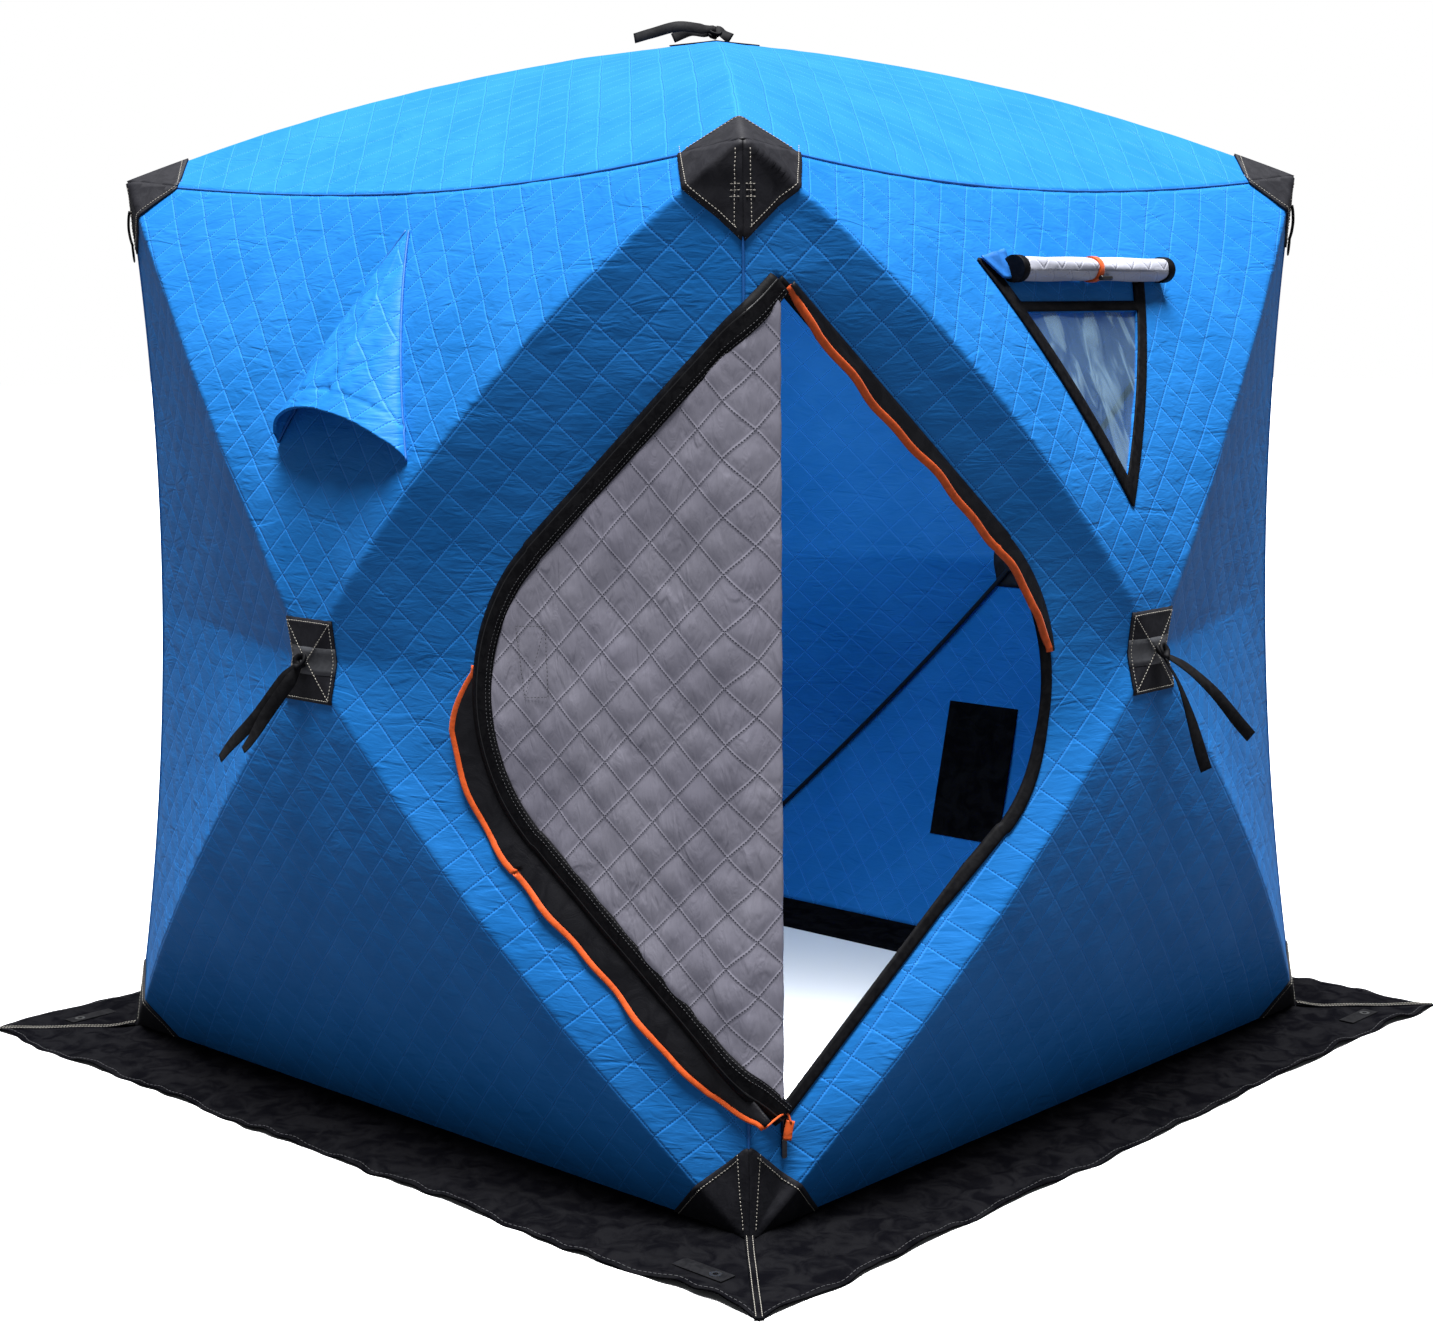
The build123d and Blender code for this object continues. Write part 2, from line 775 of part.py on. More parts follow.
# Vent hood on the front wall's upper facet, open below
hood_rim = []
hood_sides = ((hood_left, hood_peak), (hood_peak, hood_right))
for (first_across, first_height), (last_across, last_height) in hood_sides:
    for share in (0.0, 0.25, 0.5, 0.75):
        across = first_across + (last_across - first_across) * share
        height = first_height + (last_height - first_height) * share
        hood_rim.append(point(front, across, wall_out(across, height) + hood_gap, height))
hood_rim.append(point(front, hood_right[0], wall_out(*hood_right) + hood_gap, hood_right[1]))
lip_across = (hood_left[0] + hood_right[0]) / 2
lip_height = (hood_left[1] + hood_right[1]) / 2 + hood_arch
lip_out = wall_out(lip_across, lip_height) + hood_reach
with BuildPart() as hood:
    fan(point(front, lip_across, lip_out, lip_height), hood_rim, False, point(front, 0, 1, 0), hood_cloth)
save(hood, "vent_hood")


# Pull straps knotted on the hub studs, each with two loose ends
def tail(spots, wide):
    with BuildLine() as path:
        ThreePointArc(*[Vector(*spot) for spot in spots])
    with BuildSketch(Plane(origin=path.line @ 0, x_dir=wide, z_dir=path.line % 0)) as section:
        Rectangle(strap_width, strap_thickness)
    sweep(section.sketch, path=path.line)


def knot(face, depth):
    with BuildSketch(face) as block:
        RectangleRounded(knot_size * 1.3, knot_size, knot_size / 4)
    extrude(block.sketch, amount=depth)


knot_lift = patch_clearance + patch_thickness + fit
with BuildPart() as straps:
    for turn in walls.values():
        knot_out = wall_hub_reach + knot_lift
        wide = point(turn, 1, 0, 0)
        knot_place = point(turn, 0, knot_out, wall_hub_height)
        knot(Plane(origin=knot_place, x_dir=wide, z_dir=point(turn, 0, 1, 0)), knot_size * 0.8)
        middle = knot_out + knot_size * 0.4
        for lean, reach, drop in strap_tails:
            spots = [
                (knot_size * 0.2 * lean, middle, -knot_size / 4),
                (lean * strap_drop * 0.45, middle + reach * strap_reach * 0.465, -drop * strap_drop * 0.38),
                (
                    lean * strap_drop * 0.6,
                    middle + (reach * strap_reach - knot_size / 2) * 0.85,
                    -drop * strap_drop,
                ),
            ]
            tail([point(turn, across, out, wall_hub_height + rise) for across, out, rise in spots], wide)
    knot_base = roof_hub_height + knot_lift
    knot(Plane.XY.offset(knot_base), knot_size * 1.2)
    for reach, rise in roof_tails:
        middle = knot_base + knot_size * 0.83
        spots = [
            (0, 0, middle),
            (-reach / 2, -reach / 2, middle + rise),
            (-reach, -reach, knot_base + reach * 0.145),
        ]
        tail(spots, (1, -1, 0))
save(straps, "hub_straps")

with BuildPart() as pulls:
    for turn in (right, back, left):
        reach = corner_at(eave_height - 60, 1) + pull_seat
        hang = Plane(
            origin=point(turn, reach, reach, eave_height - 50 - pull_length / 2),
            x_dir=point(turn, 1, -1, 0),
            z_dir=point(turn, 1, 1, 0),
        )
        with BuildSketch(hang):
            RectangleRounded(pull_width, pull_length, 5)
        extrude(amount=storm_thickness)
save(pulls, "corner_pulls")

# Pocket inside the back wall's lower facet
with BuildPart() as pocket:
    for height in (pocket_base, pocket_base + pocket_height):
        out = crease_at(height)[1] - cloth - 2 * fit
        spots = [(-pocket_width / 2, out), (pocket_width / 2, out)]
        spots += [(pocket_width / 2, out - patch_thickness), (-pocket_width / 2, out - patch_thickness)]
        with BuildSketch(Plane.XY.offset(height)):
            with BuildLine():
                Polyline(*[place(back, a + pocket_centre, o) for a, o in spots], close=True)
            make_face()
    loft(ruled=True)
save(pocket, "inner_pocket")
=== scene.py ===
# Pop-up fishing hut of quilted cloth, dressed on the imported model.
# Shapes are worked out in millimetres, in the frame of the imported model, and scaled when a mesh is made.
import json
import random
from math import atan2, cos, hypot, pi, radians, sin, sqrt

import bpy
import numpy as np
from mathutils import Matrix, Vector


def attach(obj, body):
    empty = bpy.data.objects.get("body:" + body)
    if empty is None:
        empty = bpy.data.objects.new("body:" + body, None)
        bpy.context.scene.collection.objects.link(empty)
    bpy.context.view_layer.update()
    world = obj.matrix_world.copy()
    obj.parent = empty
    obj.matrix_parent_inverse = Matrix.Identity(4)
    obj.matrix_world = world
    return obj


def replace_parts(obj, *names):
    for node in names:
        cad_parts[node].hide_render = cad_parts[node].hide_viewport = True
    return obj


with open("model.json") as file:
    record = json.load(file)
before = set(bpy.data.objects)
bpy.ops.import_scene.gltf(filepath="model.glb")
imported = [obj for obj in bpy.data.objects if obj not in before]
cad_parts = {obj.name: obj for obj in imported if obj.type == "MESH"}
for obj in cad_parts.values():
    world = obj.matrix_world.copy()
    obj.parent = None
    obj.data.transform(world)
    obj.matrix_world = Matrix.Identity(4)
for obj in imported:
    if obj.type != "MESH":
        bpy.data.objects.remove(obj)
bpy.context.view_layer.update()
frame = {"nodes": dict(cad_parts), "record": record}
MM = 0.001

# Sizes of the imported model
BASE, EAVE, EAVE_HEIGHT, ROOF_HEIGHT = 900.0, 860.0, 1810.0, 2090.0
HUB_OUT, HUB_HEIGHT = 1092.0, 920.0
CLOTH = 6.0
POLE_BOW, CREASE_SHIFT, ROOF_BOW, CORNER_PULL, EAVE_SAG = 50.0, 45.0, 44.0, 63.0, 50.0
FOLD, DOOR_LOW, DOOR_HIGH = 62.0, 197.0, 1600.0
DOOR_POINT, DOOR_POINT_HEIGHT, DOOR_ROUND = 810.0, 888.0, 350.0
FLAP_LIFT, FLAP_THICK, TAPE_WIDTH = 4.0, 7.0, 26.0
SKIRT = 230.0
TAB_ACROSS, TAB_OUT = 955.0, 1042.0
TURNS = {"front": 0, "right": 90, "back": 180, "left": 270}

# Trims, as across and height on a wall, or x and y on the roof. Lengths in millimetres
QUILT, LINING, COVER_QUILT = 60.0, 66.0, 40.0
CLOTH_STRETCH, HOOD_STRETCH = 1.03, 1.25
WINDOW_TAPE = [(-307, 1630), (-34, 1180), (203, 1590)]
WINDOW_CLEAR = [(-215, 1536), (-35, 1238), (146, 1536)]
WINDOW_PANE = [(-228, 1545), (-35, 1222), (160, 1545)]
COVER_CORNER = [(-300, 1630), (-224, 1640), (-224, 1590), (-262, 1590)]
TAPE_BAR_HEIGHT = 1553.0
TAPE_STRIPS = ((-269, 1630, 0.607), (169, 1590, 0.578))
ROLL_ENDS, ROLL_HEIGHT, ROLL_RADIUS = (-231, 249), 1612.0, 23.0
HOOD_PEAK, HOOD_LEFT, HOOD_RIGHT = (35.0, 1698.0), (-138.0, 1306.0), (243.0, 1288.0)
HOOD_REACH, HOOD_RISE, HOOD_HEM = 80.0, 78.0, 0.86
VENT_CENTRE, VENT_HALF = (24, 1430), (75, 60)
HUB_PATCH_HALF, HUB_PATCH_RISE, HUB_PATCH_HEM = 66.0, 76.0, 6.0
TOP_PATCH = [(684, 1812), (776, 1726), (865, 1650), (905, 1650), (905, 1835)]
BASE_PATCH = [(716, 0), (915, 0), (915, 163), (890, 163), (804, 82)]
ROOF_PATCH = [(690, 872), (728, 818), (771, 771), (818, 728), (872, 690), (882, 882)]
TOP_SEAMS = [[(700, 1806), (779, 1737), (856, 1671)], [(850, 1798), (850, 1672)]]
BASE_SEAMS = [[(742, 12), (812, 76), (884, 146)], [(878, 150), (890, 20)]]
ROOF_SEAM = [(716, 836), (738, 816), (779, 779), (816, 738), (836, 716)]
BAR_TACKS = [[(842, level), (862, level)] for level in (1722, 1732, 1742)]
TACK_BOX = [(440, 1015), (500, 1012), (484, 890), (436, 895), (440, 1015), (484, 890)]
PATCH_LIFT, SEAM_LIFT, TACK_LIFT, OVER_EDGE = (1.0, 4.2), 5.0, 5.4, 2.0
PULL_COURSE = ((1752, 6), (1738, 10), (1716, 13), (1694, 12), (1680, 9))
PULL_LOOP_HEIGHT, PULL_LOOP_RISE, KNOT_LIFT = 1668, 20, 3.5
SKIRT_INSIDE = 9.0


def place(turn, across, out, height):
    """Point of a wall: across along it, out from the hut's middle, and height."""
    angle = radians(turn)
    x = across * cos(angle) + out * sin(angle)
    y = across * sin(angle) - out * cos(angle)
    return np.stack(np.broadcast_arrays(x, y, height), axis=-1)


def corner_at(height, pulled):
    """Distance of a wall's corner from its middle, less where the cloth draws the corner in."""
    share = height / EAVE_HEIGHT
    return BASE + (EAVE - BASE) * share - pulled * CORNER_PULL / sqrt(2) * 4 * share * (1 - share)


def crease(share, upper):
    """Pole line from a wall's hub (0) to its corner (1): across, out and height."""
    half = EAVE if upper else BASE
    rise = (EAVE_HEIGHT if upper else 0.0) - HUB_HEIGHT
    shift = CREASE_SHIFT / hypot(half, rise) if upper else 0.0
    bow = 4 * share * (1 - share)
    return (
        share * half - bow * shift * rise,
        HUB_OUT + share * (half - HUB_OUT) + bow * POLE_BOW,
        HUB_HEIGHT + share * rise + bow * shift * half,
    )


CREASE_SHARES = np.linspace(0, 1, 600)
CREASE_PARTS = zip(crease(CREASE_SHARES, False), crease(CREASE_SHARES, True))
CREASE_LINE = [np.concatenate([lower[::-1], upper[1:]]) for lower, upper in CREASE_PARTS]


def crease_at(height):
    across, out, level = CREASE_LINE
    return np.interp(height, level, across), np.interp(height, level, out)


EAVE_MIDDLE, EAVE_INSET = EAVE_HEIGHT - EAVE_SAG, EAVE - EAVE_SAG
WALL_SAG = crease_at(EAVE_MIDDLE)[1] - EAVE_INSET


def ridge_height(half):
    """Height of the roof's pole line at a distance from the middle."""
    share = half / EAVE
    return EAVE_HEIGHT + (ROOF_HEIGHT - EAVE_HEIGHT) * (1 - share) + 4 * share * (1 - share) * ROOF_BOW


ROOF_SAG = ridge_height(EAVE_INSET) - EAVE_MIDDLE
HUB_CORNER = corner_at(HUB_HEIGHT, 0)
FACET = hypot(HUB_CORNER, HUB_OUT - HUB_CORNER)
ALONG, OUTWARD = HUB_CORNER / FACET, (HUB_OUT - HUB_CORNER) / FACET
DOOR_REACH = DOOR_POINT - FOLD
DOOR_SLOPE = atan2((DOOR_HIGH - DOOR_LOW) / 2, DOOR_REACH)


def door_width(height):
    """Distance of the door's curved edge from the fold line."""
    rise = height - DOOR_POINT_HEIGHT
    end = np.where(rise > 0, DOOR_HIGH, DOOR_LOW)
    straight = np.maximum(0.0, DOOR_REACH * (height - end) / (DOOR_POINT_HEIGHT - end))
    middle = DOOR_REACH - DOOR_ROUND / sin(DOOR_SLOPE)
    curved = middle + np.sqrt(np.maximum(DOOR_ROUND ** 2 - rise ** 2, 0.0))
    return np.where(np.abs(rise) < DOOR_ROUND * cos(DOOR_SLOPE), curved, straight)


DOOR_SIDES = {("front", 1): -FOLD, ("right", -1): FOLD}


def pulled_at(name, across):
    """1 where a wall's nearer corner is drawn in by the cloth, 0 at the straight corner by the door."""
    return np.where(across > 0, float((name, 1) not in DOOR_SIDES), float((name, -1) not in DOOR_SIDES))


def wall_out(name, across, height):
    """How far out a wall's outer face is."""
    across, height = np.broadcast_arrays(np.asarray(across, float), np.asarray(height, float))
    pole, out = crease_at(height)
    sag = WALL_SAG * np.clip((height - HUB_HEIGHT) / (EAVE_MIDDLE - HUB_HEIGHT), 0, 2) ** 2
    result = out - sag * (1 - (across / np.maximum(pole, 1.0)) ** 2)
    size = np.abs(across)
    for side in (-1, 1):
        fold = DOOR_SIDES.get((name, side))
        corner = corner_at(height, 1 if fold is None else 0)
        if fold is None:
            share = (size - pole) / np.maximum(corner - pole, 1.0)
            facet = out + (corner - out) * share
        else:
            full = (corner - pole) / ALONG
            width = np.clip(fold + door_width(height), 0.25 * full, 0.8 * full)
            bend = corner - width * ALONG
            share = (size - pole) / np.maximum(bend - pole, 1.0)
            rising = out + (corner + width * OUTWARD - out) * share
            flat = corner + (corner - size) / ALONG * OUTWARD
            facet = np.where(size > bend, flat, rising)
        result = np.where((across * side > 0) & (size > pole), facet, result)
    return result


def wall_point(name, across, height, lift=0.0):
    """Point lifted off a wall's outer face, square to it."""
    step = 2.0
    out = wall_out(name, across, height)
    beyond = wall_out(name, across + step, height) - wall_out(name, across - step, height)
    above = wall_out(name, across, height + step) - wall_out(name, across, height - step)
    slope, rise = np.clip(beyond / (2 * step), -1, 1), np.clip(above / (2 * step), -1.5, 1.5)
    long = np.sqrt(1 + slope ** 2 + rise ** 2)
    return place(TURNS[name], across - lift * slope / long, out + lift / long, height - lift * rise / long)


def roof_height(x, y):
    half = np.maximum(np.maximum(np.abs(x), np.abs(y)), 1e-6)
    other = np.minimum(np.abs(x), np.abs(y))
    return ridge_height(half) - ROOF_SAG * (half / EAVE_INSET) ** 2 * (1 - (other / half) ** 2)


def roof_point(x, y, lift=0.0):
    step = 2.0
    slope_x = (roof_height(x + step, y) - roof_height(x - step, y)) / (2 * step)
    slope_y = (roof_height(x, y + step) - roof_height(x, y - step)) / (2 * step)
    long = np.sqrt(1 + slope_x ** 2 + slope_y ** 2)
    spot = (x - lift * slope_x / long, y - lift * slope_y / long, roof_height(x, y) + lift / long)
    return np.stack(spot, axis=-1)


def halved(low, high, gap):
    """Where a falling function of the height or reach passes zero."""
    for _ in range(40):
        middle = (low + high) / 2
        above = gap(middle) > 0
        low, high = np.where(above, middle, low), np.where(above, high, middle)
    return low


def eave_top(name, share):
    """Height of a wall's top edge at a share of the way from its middle to a corner."""
    pulled = pulled_at(name, share)
    rise = EAVE_HEIGHT - EAVE
    start = np.full_like(share, 1650.0)
    return halved(start, start + 170.0, lambda h: rise + wall_out(name, share * corner_at(h, pulled), h) - h)


def eave_reach(share):
    """Distance of the roof's edge from the middle."""
    start = np.full_like(share, 700.0)
    rise = EAVE_HEIGHT - EAVE
    flat = 1 - share ** 2
    return halved(
        start, start + 165.0, lambda h: ridge_height(h) - ROOF_SAG * (h / EAVE_INSET) ** 2 * flat - rise - h
    )


# Waves of cloth: sums of sines in random directions
def waves(x, y, length, seed, count=7):
    rng = random.Random(seed)
    total = np.zeros_like(x, dtype=float)
    for _ in range(count):
        angle, size = rng.uniform(0, 2 * pi), length * rng.uniform(0.6, 1.7)
        total += np.sin(2 * pi * (x * cos(angle) + y * sin(angle)) / size + rng.uniform(0, 2 * pi))
    return total / sqrt(count)


def pillows(s, t, pitch=QUILT, power=0.9):
    """Height of the quilting, from 0 on a stitched line to 1 in the middle of a square."""
    u, v = (s + t) / (sqrt(2) * pitch), (s - t) / (sqrt(2) * pitch)
    return (np.abs(np.sin(pi * u)) * np.abs(np.sin(pi * v))) ** power


# Meshes
def lattice(columns, rows, diagonal=None):
    """Triangles of a grid of columns by rows. diagonal gives the way each square is divided."""
    index = np.arange(columns * rows).reshape(rows, columns)
    a, b = index[:-1, :-1].ravel(), index[:-1, 1:].ravel()
    c, d = index[1:, 1:].ravel(), index[1:, :-1].ravel()
    rising = np.ones(len(a), bool) if diagonal is None else diagonal.ravel()
    first = np.where(rising[:, None], np.stack([a, b, c], 1), np.stack([a, b, d], 1))
    second = np.where(rising[:, None], np.stack([a, c, d], 1), np.stack([b, c, d], 1))
    return np.concatenate([first, second])


def edges_of(tris):
    return np.concatenate([tris[:, [0, 1]], tris[:, [1, 2]], tris[:, [2, 0]]])


def trimmed(spots, tris, keep):
    """Cuts a flat mesh along keep = 0: corners near the line are moved onto it, and the rest goes."""
    spots = spots.copy()
    value = keep(spots[:, 0], spots[:, 1])
    pairs = np.unique(np.sort(edges_of(tris), axis=1), axis=0)
    crossing = pairs[value[pairs[:, 0]] * value[pairs[:, 1]] < 0]
    best, moved = {}, {}
    for a, b in crossing:
        near, far = spots[a], spots[b]
        above = value[a] > 0
        low, high = 0.0, 1.0
        for _ in range(12):
            mid = (low + high) / 2
            at = near + (far - near) * mid
            if (keep(at[:1], at[1:])[0] > 0) == above:
                low = mid
            else:
                high = mid
        at = near + (far - near) * low
        chosen, size = (a, low) if low < 0.5 else (b, 1 - low)
        if size < best.get(chosen, 9):
            best[chosen], moved[chosen] = size, at
    for index, at in moved.items():
        spots[index] = at
        value[index] = 0.0
    inside = (value[tris] >= -1e-6).all(axis=1)
    centre = spots[tris].mean(axis=1)
    inside &= keep(centre[:, 0], centre[:, 1]) > 0
    tris = tris[inside]
    used, tris = np.unique(tris, return_inverse=True)
    return spots[used], tris.reshape(-1, 3)


def object_from(name, points, faces, uv=None, flat_faces=0, scale=MM):
    mesh = bpy.data.meshes.new(name)
    mesh.from_pydata((np.asarray(points) * scale).tolist(), [], [list(map(int, f)) for f in faces])
    sides = np.empty(len(mesh.polygons), int)
    mesh.polygons.foreach_get("loop_total", sides)
    smooth = sides < 5
    if flat_faces:
        smooth[-flat_faces:] = False
    mesh.polygons.foreach_set("use_smooth", smooth)
    if uv is not None:
        layer = mesh.uv_layers.new(name="cloth")
        corners = np.empty(len(mesh.loops), int)
        mesh.loops.foreach_get("vertex_index", corners)
        layer.data.foreach_set("uv", (np.asarray(uv)[corners] * MM).ravel())
    mesh.validate()
    mesh.update()
    piece = bpy.data.objects.new(name, mesh)
    bpy.context.scene.collection.objects.link(piece)
    return piece


def shell(name, outer, inner, tris, uv):
    """Closed piece of cloth: two layers with the same triangles, and a rim between their free edges."""
    pairs = edges_of(tris)
    _, first, times = np.unique(np.sort(pairs, axis=1), axis=0, return_index=True, return_counts=True)
    rim = pairs[first[times == 1]]
    count = len(outer)
    faces = tris.tolist() + (tris[:, ::-1] + count).tolist()
    faces += [[b, a, a + count, b + count] for a, b in rim]
    return object_from(name, np.concatenate([outer, inner]), faces, np.concatenate([uv, uv]), len(rim))


def closed_sheet(name, spots, tris, outer, inner, uv=None):
    """Sheet with two faces and a rim, from flat places and the functions that put them in space."""
    u, v = spots[:, 0], spots[:, 1]
    cloth = np.stack((u, v) if uv is None else uv(u, v), 1)
    return shell(name, outer(u, v), inner(u, v), tris, cloth)


def decal(name, box, cell, keep, surface, low, high, uv=None):
    """Patch of cloth on a surface, kept where keep is above 0, from low to high off the surface."""
    (x0, y0), (x1, y1) = box
    columns, rows = max(2, int((x1 - x0) / cell) + 1), max(2, int((y1 - y0) / cell) + 1)
    u, v = np.meshgrid(np.linspace(x0, x1, columns), np.linspace(y0, y1, rows))
    spots, tris = np.stack([u.ravel(), v.ravel()], 1), lattice(columns, rows)
    if keep is not None:
        spots, tris = trimmed(spots, tris, keep)
    outer, inner = (lambda a, b, lift=lift: surface(a, b, lift) for lift in (high, low))
    return closed_sheet(name, spots, tris, outer, inner, uv)


def polygon_field(corners):
    """Function above 0 inside a convex polygon, in millimetres from its nearest side."""
    corners = np.asarray(corners, float)
    after = np.roll(corners, -1, axis=0)
    if np.sum(corners[:, 0] * after[:, 1] - after[:, 0] * corners[:, 1]) < 0:
        corners = corners[::-1]
    following = np.roll(corners, -1, axis=0)

    def keep(x, y):
        value = np.full(np.shape(x), 1e9)
        for (ax, ay), (bx, by) in zip(corners, following):
            long = hypot(bx - ax, by - ay)
            value = np.minimum(value, ((bx - ax) * (y - ay) - (by - ay) * (x - ax)) / long)
        return value

    return keep


def curve_through(points, step=6.0):
    """Smooth line through points, with even steps."""
    points = np.asarray(points, float)
    padded = np.concatenate([[2 * points[0] - points[1]], points, [2 * points[-1] - points[-2]]])
    line = []
    for p0, p1, p2, p3 in zip(padded, padded[1:], padded[2:], padded[3:]):
        count = max(2, int(np.linalg.norm(p2 - p1) / step) + 1)
        for t in np.linspace(0, 1, count, endpoint=False):
            bend = (2 * p0 - 5 * p1 + 4 * p2 - p3) * t ** 2 + (3 * p1 - p0 - 3 * p2 + p3) * t ** 3
            line.append(0.5 * (2 * p1 + (p2 - p0) * t + bend))
    line.append(points[-1])
    return np.array(line)


def sweep_parts(path, section, normal, scales=None):
    """Points and faces of a section carried along a path. The section's second number is along the normal."""
    path = np.asarray(path, float)
    section = np.asarray(section, float)
    count, sides = len(path), len(section)
    tangent = np.gradient(path, axis=0)
    tangent /= np.linalg.norm(tangent, axis=1)[:, None] + 1e-12
    normal = np.broadcast_to(np.asarray(normal, float), path.shape)
    if normal.shape[0] != count or np.allclose(normal, normal[0]):
        carried, current = [], normal[0]
        for direction in tangent:
            current = current - direction * np.dot(current, direction)
            current = current / (np.linalg.norm(current) + 1e-12)
            carried.append(current)
        normal = np.array(carried)
    side = np.cross(tangent, normal)
    side /= np.linalg.norm(side, axis=1)[:, None] + 1e-12
    normal = np.cross(side, tangent)
    scales = np.ones((count, 2)) if scales is None else np.asarray(scales, float)
    points = (
        path[:, None, :]
        + side[:, None, :] * (section[None, :, 0:1] * scales[:, None, 0:1])
        + normal[:, None, :] * (section[None, :, 1:2] * scales[:, None, 1:2])
    ).reshape(-1, 3)
    faces = []
    for i in range(count - 1):
        for j in range(sides):
            k = (j + 1) % sides
            faces.append([i * sides + j, i * sides + k, (i + 1) * sides + k, (i + 1) * sides + j])
    faces.append(list(range(sides))[::-1])
    faces.append([(count - 1) * sides + j for j in range(sides)])
    return points, faces


def joined(name, parts):
    points, faces, start = [], [], 0
    for some_points, some_faces in parts:
        points.append(some_points)
        faces += [[index + start for index in face] for face in some_faces]
        start += len(some_points)
    return object_from(name, np.concatenate(points), faces)


def ring(radius, sides=10, high=None):
    """Section of a cord. high is its half height where it isn't round."""
    high = radius if high is None else high
    return [(radius * cos(2 * pi * i / sides), high * sin(2 * pi * i / sides)) for i in range(sides)]


def band(width, thick, round_share=0.35):
    """Section of a woven strap with softened edges."""
    w, t = width / 2, thick / 2
    r = t * round_share * 2
    half = [(-w, -t + r), (-w + r, -t), (w - r, -t), (w, -t + r)]
    return half + [(-x, -y) for x, y in half]


# Materials
class Look:
    """A material being built, with short calls for its nodes."""

    def __init__(self, name):
        self.material = bpy.data.materials.new(name)
        self.material.use_nodes = True
        self.tree = self.material.node_tree
        self.shader = self.tree.nodes["Principled BSDF"]
        self.output = self.tree.nodes["Material Output"]

    def node(self, kind, **values):
        node = self.tree.nodes.new(kind)
        for key, value in values.items():
            if hasattr(node, key):
                setattr(node, key, value)
        return node

    def link(self, source, target):
        if hasattr(source, "is_output"):
            self.tree.links.new(source, target)
        else:
            target.default_value = source

    def math(self, operation, first, second=0.0, third=0.0, clamp=False):
        node = self.node("ShaderNodeMath", operation=operation, use_clamp=clamp)
        for socket, value in zip(node.inputs, (first, second, third)):
            self.link(value, socket)
        return node.outputs[0]

    def step(self, value, low, high, start=0.0, end=1.0):
        node = self.node("ShaderNodeMapRange", interpolation_type="SMOOTHSTEP")
        for socket, number in zip(node.inputs, (value, low, high, start, end)):
            self.link(number, socket)
        return node.outputs[0]

    def mix(self, share, first, second):
        node = self.node("ShaderNodeMix", data_type="RGBA")
        self.link(share, node.inputs["Factor"])
        self.link(first, node.inputs[6])
        self.link(second, node.inputs[7])
        return node.outputs[2]

    def noise(self, vector, scale, detail=3.0, rough=0.55, distortion=0.0):
        node = self.node("ShaderNodeTexNoise")
        self.link(vector, node.inputs["Vector"])
        values = {"Scale": scale, "Detail": detail, "Roughness": rough, "Distortion": distortion}
        for key, value in values.items():
            node.inputs[key].default_value = value
        return node.outputs["Fac"]

    def stretched(self, vector, size, turn=0.0):
        node = self.node("ShaderNodeMapping")
        self.link(vector, node.inputs["Vector"])
        node.inputs["Scale"].default_value = size
        node.inputs["Rotation"].default_value = (0, 0, turn)
        return node.outputs["Vector"]

    def cloth_uv(self):
        return self.node("ShaderNodeUVMap", uv_map="cloth").outputs["UV"]

    def object_place(self):
        return self.node("ShaderNodeTexCoord").outputs["Object"]

    def bump(self, height, strength, distance):
        node = self.node("ShaderNodeBump")
        node.inputs["Strength"].default_value = strength
        node.inputs["Distance"].default_value = distance
        self.link(height, node.inputs["Height"])
        self.link(node.outputs["Normal"], self.shader.inputs["Normal"])
        return node

    def surface(self, color, rough, **values):
        self.link(color, self.shader.inputs["Base Color"])
        self.shader.inputs["Roughness"].default_value = rough
        for key, value in values.items():
            self.shader.inputs[key.replace("_", " ")].default_value = value


# Millimetres from a stitched line: the groove's width, the thread's edge and the edge of the painted
# highlight beside the line
GROOVE_WIDTH, THREAD_EDGE, HIGHLIGHT_EDGE = 4.0, (0.6, 1.4), (1.0, 4.5)


